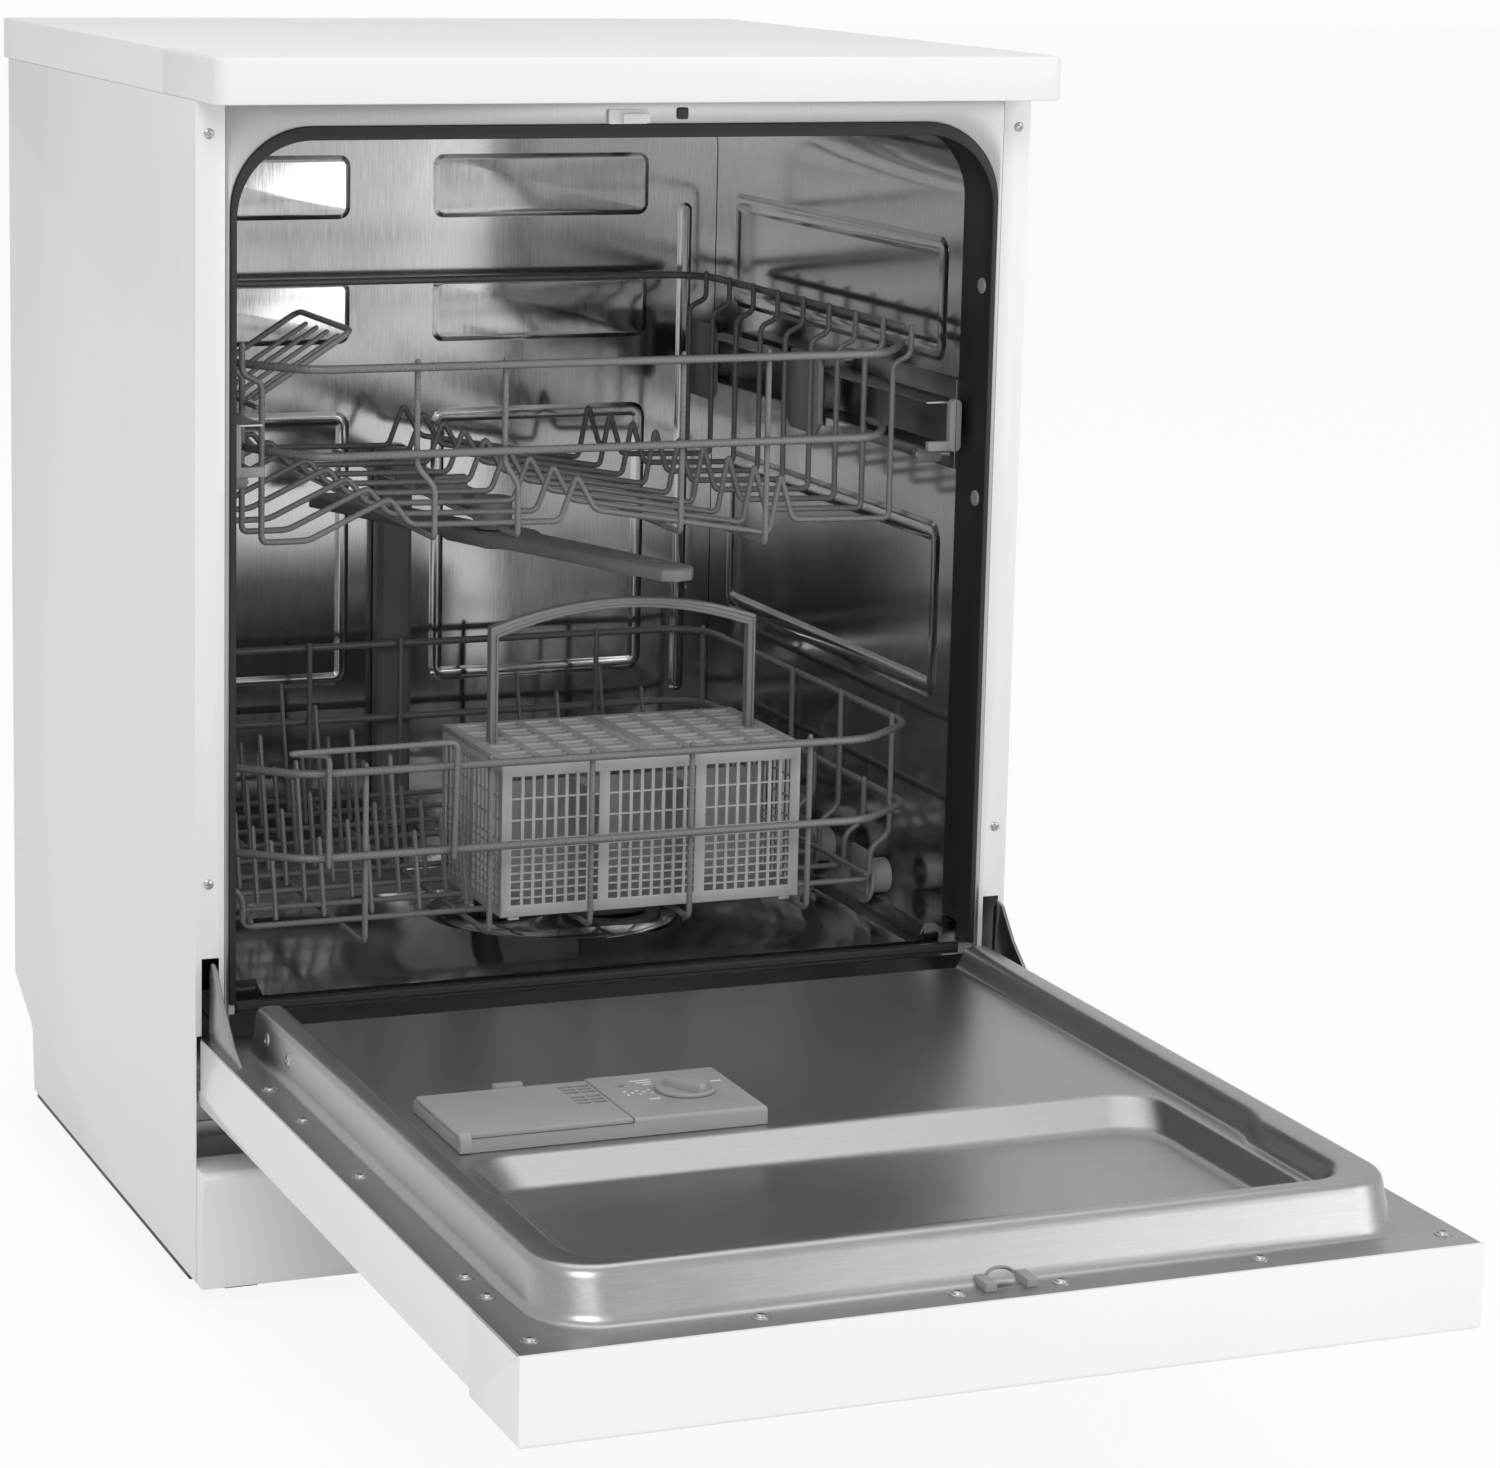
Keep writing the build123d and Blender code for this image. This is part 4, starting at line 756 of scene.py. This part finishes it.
# Lower rack's wheels: pale moulded wheels with a rim, spokes and a flange that runs inside the
# ledge; each turns on a pin of a carrier clipped to the wires.
dressed("lower_wheel_carriers", pale_moulded, "light_grey_plastic", 0.3)
wheel_z, wheel_inner = 235.2, 241.9
wheel_ys = {
    "lower_wheels_1": 121.0, "lower_wheels_2": 222.0,
    "lower_wheels_3": 360.0, "lower_wheels_4": 461.0,
}
rim_profile = [(0, 9.5), (0, 18.9), (0.5, 19.4), (2.3, 19.4), (2.8, 18.9), (2.8, 13.4), (3.2, 13), (19, 13)]
rim_profile += [(19.6, 12.4), (19.6, 10.9), (19, 10.4), (5, 10.2), (5, 9.5)]
hub_profile = [(0, 3.4), (0, 6), (19, 5.2), (19.5, 4.7), (19.5, 3.4)]
web_profile = [(2.2, 5), (2.2, 11), (6, 11), (6, 5)]
spoke_count, spoke_inner, spoke_outer, spoke_half = 8, 4.6, 10.9, 0.8
for node, y in wheel_ys.items():
    made = []
    for side in (-1, 1):
        axis = (side, 0, 0)
        centre = (side * wheel_inner, y, wheel_z)
        made.append(turned("rim", centre, axis, rim_profile))
        made.append(turned("hub", centre, axis, hub_profile, 24))
        made.append(turned("web", centre, axis, web_profile, 32))
        for k in range(spoke_count):
            angle = 2 * math.pi / spoke_count * k
            out = Vector((0, math.cos(angle), math.sin(angle)))
            wide = Vector((0, -math.sin(angle), math.cos(angle))) * spoke_half
            rings = []
            for along in (4, 17.4):
                spot = Vector(centre) + Vector(axis) * along
                inner, outer = spot + out * spoke_inner, spot + out * spoke_outer
                rings.append([inner + wide, outer + wide, outer - wide, inner - wide])
            made.append(skin("spoke", rings))
    put_together(node + "_spoked", made, 0, node, pale_moulded, "light_grey_plastic", node)

# Upper rack: the same coated wire, with a stepped floor for cups, an open front rim at two
# levels, and uprights that hook under the floor.
upper_half, upper_floor_half, upper_front = 252.0, 233.0, 36.0
side_top, front_top, front_low = 645.0, 634.0, 575.0
upper_side_inner = upper_half - wire_step
side_rim = [(upper_half - corner_cut, rack_back), (upper_half, rack_back - corner_cut), (upper_half, 96)]
upper_rims = [[(-x, y, side_top) for x, y in reversed(side_rim)] + [(x, y, side_top) for x, y in side_rim]]
for level, reach, corner in ((front_top, upper_half, 42), (front_low, upper_floor_half + wire_step, 34.25)):
    right = [(reach, 130), (reach, 93), (reach - corner, upper_front)]
    upper_rims.append([(-x, y, level) for x, y in right] + [(x, y, level) for x, y in reversed(right)])
floor_profile = [(-200, 513), (-142, 540), (-127, 521), (-18, 519), (-6, 551)]
floor_profile += [(8, 526), (140, 504), (148, 546), (158, 513)]


def floor_level(x):
    """The height of the upper rack's floor at one distance from the middle."""
    for (left, low), (right, high) in zip(floor_profile, floor_profile[1:]):
        if left <= x <= right:
            return low + (high - low) * (x - left) / (right - left)


shoulder_foot, shoulder_top = 622, 628
upper_ribs = []
for i in range(9):
    y, tip = 72 + 48 * i, side_top + rib_end
    shoulder = [(upper_floor_half, shoulder_foot), (upper_side_inner, shoulder_top), (upper_side_inner, tip)]
    left = [(-x, z) for x, z in reversed(shoulder)] + [(-upper_floor_half, 513)]
    right = [(upper_floor_half, 511)] + shoulder
    upper_ribs.append([(x, y, z) for x, z in left + floor_profile + right])
upright_y = upper_front + wire_step
for x, jog in ((-133, 13), (-70, 10), (60, 0), (124, 0)):
    foot = floor_level(x + jog) - 2.05 * thin_wire - weld_gap
    upright = [(x, upright_y, front_top + rib_end)]
    if jog:
        upright += [(x, upright_y, 566), (x + jog, upright_y, 551)]
    upper_ribs.append(upright + [(x + jog, upright_y, foot), (x + jog, rack_back - 16, foot)])
upper_rack = joined(
    "upper_rack_wirework", [wires("rims", upper_rims, rim_wire, 16), wires("ribs", upper_ribs, thin_wire, 5)]
)
fit(upper_rack, "upper_rack", coated_wire, "grey_coated_wire", "upper_rack_wires")

# Cup shelf: a small flap of the same wire, a frame with four rungs, which folds up on a rod along
# the rack's left side.
shelf_hinge_x = -upper_floor_half + 2 * thin_wire + 0.3
shelf_hinge_z, shelf_slope = 601.4, math.radians(32.7)


def shelf_point(distance, lift):
    """A point of the shelf's section: along its slope, and up from its hinge rod."""
    return (
        shelf_hinge_x + distance * math.cos(shelf_slope),
        shelf_hinge_z + lift + distance * math.sin(shelf_slope),
    )


shelf_length, shelf_lift = 83, 4.95
root_x, root_z = shelf_point(-1, shelf_lift)
tip_x, tip_z = shelf_point(shelf_length, shelf_lift)
shelf_frame = [(root_x, 108, root_z), (tip_x, 108, tip_z), (tip_x, 234, tip_z), (root_x, 234, root_z)]
rung_root, rung_tip = shelf_point(thin_wire + 0.3, 0), shelf_point(shelf_length - 1, 0)
rungs = [[(rung_root[0], y, rung_root[1]), (rung_tip[0], y, rung_tip[1])] for y in (134, 159, 184, 209)]
rod = [(shelf_hinge_x, 100, shelf_hinge_z), (shelf_hinge_x, 242, shelf_hinge_z)]
cup_shelf = joined(
    "cup_shelf_wirework",
    [
        wires("frame", [shelf_frame], thin_wire, 9),
        wires("rod", [rod], thin_wire - 0.2, 3),
        wires("rungs", rungs, thin_wire - 0.4, 3),
    ],
)
fit(cup_shelf, "cup_shelf", coated_wire, "grey_coated_wire", "cup_shelf")

# Cutlery basket: a moulded box of pale grey plastic with lattice walls in three bays, coarse at
# the top and fine below, two gridded lids and small feet at its corners.
basket_moulded = painted("basket_moulded", 0.42, 0.4, spread=0.05)
basket_left, basket_right, basket_front, basket_back = -62.0, 164.0, 60.0, 189.0
basket_bottom, basket_lid_top = 241.6, 354.0
window_low, window_high, window_middle = 249.8, 341.8, 296.0
basket_post, basket_slat, basket_wall = 2.3, 1.2, 1.8
lattice = []


def fill_window(start, wall, lengthwise, span, margin, post_step, posts):
    """One window of the basket's wall: posts, fine slats low down and two coarse ones higher."""

    def spot(along, out, level):
        return (start + along, wall + out, level) if lengthwise else (wall + out, start + along, level)

    step = (post_step, 0, 0) if lengthwise else (0, post_step, 0)
    low, high = spot(margin, 0, window_low - 1), spot(margin + basket_post, basket_wall, window_high + 1)
    lattice.append(bars(low, high, step, posts))
    for level, rise, slats in ((window_low + 4.5, 5.9, 8), (window_middle + 14, 15.4, 2)):
        low, high = spot(-1, 0.3, level), spot(span, 0.3 + basket_slat, level + basket_slat)
        lattice.append(bars(low, high, (0, 0, rise), slats))


for start in (-54.5, 18.5, 91.5):
    for wall in (basket_front + 0.2, basket_back - 0.2 - basket_wall):
        fill_window(start, wall, True, 66, 6.8, 8.2, 7)
for start in (67, 128):
    for wall in (basket_left + 0.2, basket_right - 0.2 - basket_wall):
        fill_window(start, wall, False, 55, 5, 7.9, 6)
lid_middle = (basket_left + basket_right) / 2
for low, high in ((basket_left, lid_middle - 0.3), (lid_middle + 0.3, basket_right)):
    corners = (low + 2, 75.7, basket_lid_top - 3), (high - 2, 77.3, basket_lid_top - 0.4)
    lattice.append(bars(*corners, (0, 24, 0), 5))
for x in (basket_left + 6, basket_right - 14):
    for y in (basket_front + 1, basket_back - 9):
        lattice.append(bars((x, y, basket_bottom - 2.2), (x + 8, y + 8, basket_bottom + 0.5)))
dressed("cutlery_basket", basket_moulded, "light_grey_plastic", 0.45)
put_together("cutlery_basket_lattice", lattice, 0, "lower_rack", basket_moulded, "light_grey_plastic")

# Basket handle: a moulded arch of darker plastic over the basket's length, its feet snapped into
# the basket's ends and its faces hollowed along the middle.
handle_moulded = painted("handle_moulded", 0.24, 0.38, spread=0.05)
handle_foot, handle_rise, handle_front, handle_thick, handle_deep = 324.2, 17, 120.5, 6, 9


def arch(left, right, shoulder):
    """One edge of the arch as seen from the front: up, over and down again."""
    line = [(left, handle_foot), (left, shoulder)]
    for i in range(1, 12):
        share = i / 12
        line.append((left + (right - left) * share, shoulder + handle_rise * 4 * share * (1 - share)))
    return line + [(right, shoulder), (right, handle_foot)]


front_face = [(0, 0.8), (0.8, 0), (1.6, 0), (2.0, 1.5), (4.0, 1.5), (4.4, 0), (5.2, 0), (6, 0.8)]
section = front_face + [(u, handle_deep - v) for u, v in reversed(front_face)]
rings = []
for (inner_x, inner_z), (outer_x, outer_z) in zip(arch(-44, 147, 429), arch(-50, 153, 436)):
    ring = []
    for u, v in section:
        share = u / handle_thick
        x, z = inner_x + (outer_x - inner_x) * share, inner_z + (outer_z - inner_z) * share
        ring.append((x, handle_front + v, z))
    rings.append(ring)
handle = skin("basket_handle_arch", rings)
rounded_edges(handle, 0)
fit(handle, "lower_rack", handle_moulded, "grey_plastic", "basket_handle")

# Outer door panel: an enamelled steel sheet folded up at its sides, which carries the liner, the
# latch and the fascia.
dressed("door_outer_panel", white_enamel, "white_sheet", 0.45)

# Hinge arms: zinc-plated steel plates, screwed to the door, that reach through the slots in the
# posts.
hinge_steel = brushed("hinge_steel", 0.3, 0.3, (1, 1, 0.3), contrast=0.25)
dressed("hinge_arms", hinge_steel, "zinc_steel", 0.5)

# Fascia: a white moulded control panel with a finger grip, a smoked window for the display and
# three plain push buttons.
dressed("fascia", white_moulded, "white_plastic", 1.4, 3)
smoked_window = painted("smoked_window", 0.02, 0.1, coat=0.5, spread=0.2)
dressed("display_window", smoked_window, "dark_glass", 0.4)
for node in ("power_button", "program_button", "start_button"):
    dressed(node, white_moulded, "white_plastic", 0.5)

# Door liner: one satin stainless pressing. A flat flange runs round it, a rounded bulge rises
# from the flange to a rim, and inside the rim a deck falls by a short slope to the pan.
liner_steel = brushed("liner_steel", 0.47, 0.33, (0.05, 1, 1))
flange_level, rim_level, deck_level, pan_level = 192.0, 222.0, 207.5, 191.0
liner_sheet, bulge_half, bulge_rear = 1.0, 285, -41
straight_ys = (bulge_rear, -80, -140, -200, -260, -320, -380, -440, -452, -464, -500, -530)
jog_start, jog_run, corner_steps = -448, 14, 8


def u_route(half_rear, half_front, front, corner, level, jog=0.0):
    """Half a plan of the bulge, at one level: back to front along the right side, then in."""
    route = []
    for y in straight_ys:
        share = (y - bulge_rear) / (front - bulge_rear)
        step = jog * min(max((jog_start - y) / jog_run, 0), 1)
        route.append(Vector((half_rear + (half_front - half_rear) * share - step, y, level)))
    reach = half_front - jog
    for i in range(corner_steps + 1):
        angle = math.pi / 2 * i / corner_steps
        x, y = reach - corner + corner * math.cos(angle), front + corner - corner * math.sin(angle)
        route.append(Vector((x, y, level)))
    route += [Vector((x, front, level)) for x in (150, 75, 0)]
    return route


def across_middle(point):
    """The same point on the machine's other side."""
    return Vector((-point.x, point.y, point.z))


bulge_plans = [
    u_route(bulge_half, bulge_half, -622, 20, flange_level),
    u_route(271.5, 270, -605, 41, flange_level),
    u_route(268.5, 266.5, -592, 34, rim_level),
    u_route(249.5, 249.5, -577, 30, rim_level, jog=6),
    u_route(243.5, 243.5, -568, 26, deck_level, jog=6),
    u_route(238, 238, -564.5, 24, deck_level, jog=5),
]
sections = [softened([plan[i] for plan in bulge_plans], 6.5) for i in range(len(bulge_plans[0]))]
mirrored = [[across_middle(p) for p in section] for section in reversed(sections[:-1])]
liner = [skin("bulge", sections + mirrored, closed_ring=False, caps=False)]

# the flange outside the bulge, and the strip behind it
flange_half, flange_front, flange_rear, flange_corner = 296.0, -631.0, -2.0, -600
inner_edge = bulge_plans[0] + [across_middle(p) for p in reversed(bulge_plans[0][:-1])]
outer_edge = []
for point in inner_edge:
    if point.y > flange_corner:
        outer_edge.append((math.copysign(flange_half, point.x), point.y, flange_level))
    else:
        outer_edge.append((point.x * flange_half / bulge_half, flange_front, flange_level))
liner.append(skin("flange", [outer_edge, inner_edge], closed_ring=False, caps=False))
strip = [(-flange_half, flange_rear), (flange_half, flange_rear), (flange_half, bulge_rear)]
strip += [(bulge_half, bulge_rear), (-bulge_half, bulge_rear), (-flange_half, bulge_rear)]
strip = [(x, y, flange_level) for x, y in strip]
rear_end = sections[0] + [across_middle(p) for p in reversed(sections[0])]
both_faces = [tuple(range(len(strip))), tuple(range(len(strip), len(strip) + len(rear_end)))]
liner.append(raw_mesh("strip", strip + rear_end, [], both_faces))

# the deck with the pan pressed down in it
pan_steps = [
    (230, -342, -561, 25, deck_level),
    (228.5, -345.5, -560.5, 26, deck_level - 0.4),
    (227, -349, -560, 27, deck_level - 1.8),
    (222, -366, -558, 29, pan_level + 2.4),
    (219, -371, -556, 30, pan_level + 0.4),
    (212, -378, -550, 30, pan_level),
]
pan_rings = []
for reach, rear, front, corner, level in pan_steps:
    outline = rounded_outline(reach, (rear - front) / 2, corner, 6)
    pan_rings.append([(x, y + (rear + front) / 2, level) for x, y in outline])
pan = skin("pan", pan_rings, caps=False)
pan_floor = raw_mesh("pan_floor", pan_rings[-1], [], [tuple(range(len(pan_rings[-1])))])
deck_points = [section[-1] for section in sections]
deck_edge = deck_points + [across_middle(p) for p in reversed(deck_points[:-1])]
pan_edge = pan_rings[0]
count = len(deck_edge)
edges = [(i, (i + 1) % count) for i in range(count)]
edges += [(count + i, count + (i + 1) % len(pan_edge)) for i in range(len(pan_edge))]
deck = raw_mesh("deck", deck_edge + pan_edge, edges, [])
pick_only(deck)
bpy.ops.object.mode_set(mode="EDIT")
bpy.ops.mesh.select_all(action="SELECT")
bpy.ops.mesh.fill(use_beauty=True)
bpy.ops.object.mode_set(mode="OBJECT")
liner += [pan, pan_floor, deck]
liner = joined("door_liner_pressed", liner)
bpy.ops.object.mode_set(mode="EDIT")
bpy.ops.mesh.select_all(action="SELECT")
bpy.ops.mesh.remove_doubles(threshold=0.0002)
bpy.ops.mesh.normals_make_consistent(inside=False)
bpy.ops.object.mode_set(mode="OBJECT")
wall = liner.modifiers.new("wall", "SOLIDIFY")
wall.thickness = liner_sheet * MM
wall.offset = -1
bpy.ops.object.modifier_apply(modifier=wall.name)
bpy.ops.object.shade_smooth_by_angle(angle=math.radians(40))
fit(liner, "door", liner_steel, "stainless", "door_liner")

# Door screws: zinc-plated screws with washers hold the liner's flange to the outer panel, two on
# each side of the bulge hold the hinges, and one more is each hinge's pivot.
side_seats = ((285, -128), (284, -198), (284, -316), (283, -505), (282, -539), (283, -611))
flange_seats = [(x * side, y, flange_level) for side in (-1, 1) for x, y in side_seats]
flange_seats += [(x, -616, flange_level) for x in (-151, -32, 32, 159)]
screws("flange_screws", flange_seats, (0, 0, 1), 3.5, "door", washer=5.4)
for name, side in (("left_hinge_screws", -1), ("right_hinge_screws", 1)):
    screws(name, [(side * 269.5, y, 207) for y in (-70, -118)], (side * 0.995, 0, 0.1), 5.4, "door")
screws("hinge_pivots", [(-289.8, -12, 188), (289.8, -12, 188)], (-1, 0, 0), 4.4, "door")

# Latch: a pale moulded housing in the door's front edge, with a raised bridge over the slot that
# the strike goes into.
dressed("latch_case", pale_moulded, "light_grey_plastic", 0.6)
bridge_level, bridge_half, bridge_rise = 195.8, 9.5, 4.5
bridge_section = ((1, -604), (1, -598), (0.8, -598), (0.8, -604))
bridge_rings = []
for i in range(13):
    angle = math.pi * i / 12
    reach, lift = bridge_half * math.cos(angle), bridge_rise * math.sin(angle)
    bridge_rings.append([(reach * share, y, bridge_level + lift * share) for share, y in bridge_section])
bridge = skin("latch_bridge", bridge_rings)
rounded_edges(bridge, 0.25)
fit(bridge, "door", pale_moulded, "light_grey_plastic")

# Dispenser's body: a grey moulding let into the deck, with a well at the powder cup, a groove
# along the lid's front edge and a small sight hole for the rinse aid.
dispenser_grey = painted("dispenser_grey", 0.34, 0.4, spread=0.04)
dispenser_top = 219.5


def carve(piece, cutters):
    """Cuts a piece by solids, which are used up."""
    tool = joined("cutter", cutters)
    pick_only(piece)
    cut = piece.modifiers.new("cut", "BOOLEAN")
    cut.operation = "DIFFERENCE"
    cut.solver = "EXACT"
    cut.object = tool
    bpy.ops.object.modifier_apply(modifier=cut.name)
    bpy.data.objects.remove(tool)


body = dressed("dispenser_body", dispenser_grey, "grey_plastic", 0.9)
hole_profile = [(0, 0.4), (0, 3.2), (2, 3.2), (4, 3.8), (4, 0.4)]
hole = turned("hole", (-101, -272, dispenser_top - 3), (0, 0, 1), hole_profile, 20)
cup_well = bars((-141, -304, 208), (-118.6, -262, 217))
lid_groove = bars((-228, -341, 214.7), (-117.6, -339, 216.3))
carve(body, [hole, cup_well, lid_groove])

# Dispenser's lid: a hinged moulding over the powder cup with two groups of drain slots, a lug
# beside it on the body, and a black plate at the well's bottom below the slots: painted shade.
lid = dressed("dispenser_lid", dispenser_grey, "grey_plastic", 0.8)
slot_cuts = []
for group_y in (-272, -294):
    for y in (group_y - 6, group_y, group_y + 6):
        for x in (-135, -124.5):
            slot_cuts.append(bars((x - 4.6, y - 1.9, 215), (x + 4.6, y + 1.9, 221)))
carve(lid, slot_cuts)
rounded_edges(lid, 0)
lug_side = ((-341, 0), (-341, 8), (-339.6, 11), (-337, 12.3), (-334.4, 11), (-333, 8), (-333, 0))
lug = skin("lid_lug", [[(x, y, 208 + z) for y, z in lug_side] for x in (-229.6, -222)])
rounded_edges(lug, 0.6)
fit(lug, "door", dispenser_grey, "grey_plastic")
# A black plate in the well's bottom is painted shade, so that the slots above it read dark.
cup_shade_plate = bars((-140.5, -303.5, 208.3), (-119, -262.5, 209))
rounded_edges(cup_shade_plate, 0)
cup_shade_plate.name = "dispenser_cup_floor"
fit(cup_shade_plate, "door", black_moulded, "black_plastic")

# Release tab and rinse-aid dial: a pale moulded tab that lets the lid spring open, and a round
# grey cap with a raised rim and a ridge to turn it by.
dressed("dispenser_release", pale_moulded, "light_grey_plastic", 0.6)
dial_x, dial_y, grip_turn = -65.0, -293.0, math.radians(-62)
ring_profile = [(-7, 4), (-7, 12), (0.2, 12), (0.2, 18.6), (0.6, 19), (1.9, 19), (2.5, 18.4), (2.5, 16.4)]
ring_profile += [(1.2, 15.4), (0.5, 14.6), (0.5, 4)]
dial_ring = turned("dial_ring", (dial_x, dial_y, dispenser_top), (0, 0, 1), ring_profile, 48)
grip_way = Vector((math.cos(grip_turn), math.sin(grip_turn), 0))
grip_side = Vector((-grip_way.y, grip_way.x, 0))
grip_rings = []
for inset, lift in ((0, 0), (0.2, 2.5), (0.7, 5.2), (1.3, 6.2), (2.0, 6.5)):
    outline = rounded_outline(15.2 - inset, 3.4 - inset * 0.9, max(1.4 - inset * 0.6, 0.3), 4)
    middle = Vector((dial_x, dial_y, dispenser_top + lift))
    grip_rings.append([middle + grip_way * u + grip_side * v for u, v in outline])
dial = [dial_ring, skin("dial_grip", grip_rings)]
put_together("rinse_aid_dial", dial, 0, "rinse_aid_cap", dispenser_grey, "grey_plastic", "rinse_aid_cap")


# Dispenser's marks: fine white lines and dots moulded on the body's top, without any lettering.
# They stand for the scale beside the rinse aid's dial.
def mark(left, front, width, depth):
    """A low bar on the dispenser's top."""
    low, high = dispenser_top - 0.3, dispenser_top + 0.25
    return bars((left, front, low), (left + width, front + depth, high))


marks = [mark(-92 + 2.5 * k, -267 - 4.5 * k, 14 - 4 * k, 1) for k in range(3)]
marks += [mark(x - 3.5, y - 0.5, 7, 1) for x, y in ((-40, -281), (-90, -305))]
dots = [(k, j) for k in range(5) for j in range(3) if (k + j) % 2 == 0]
marks += [mark(-104 + 4 * k, -287 - 3.6 * j, 1.6, 1.4) for k, j in dots]
put_together("dispenser_marks", marks, 0, "door", white_moulded, "white_plastic")
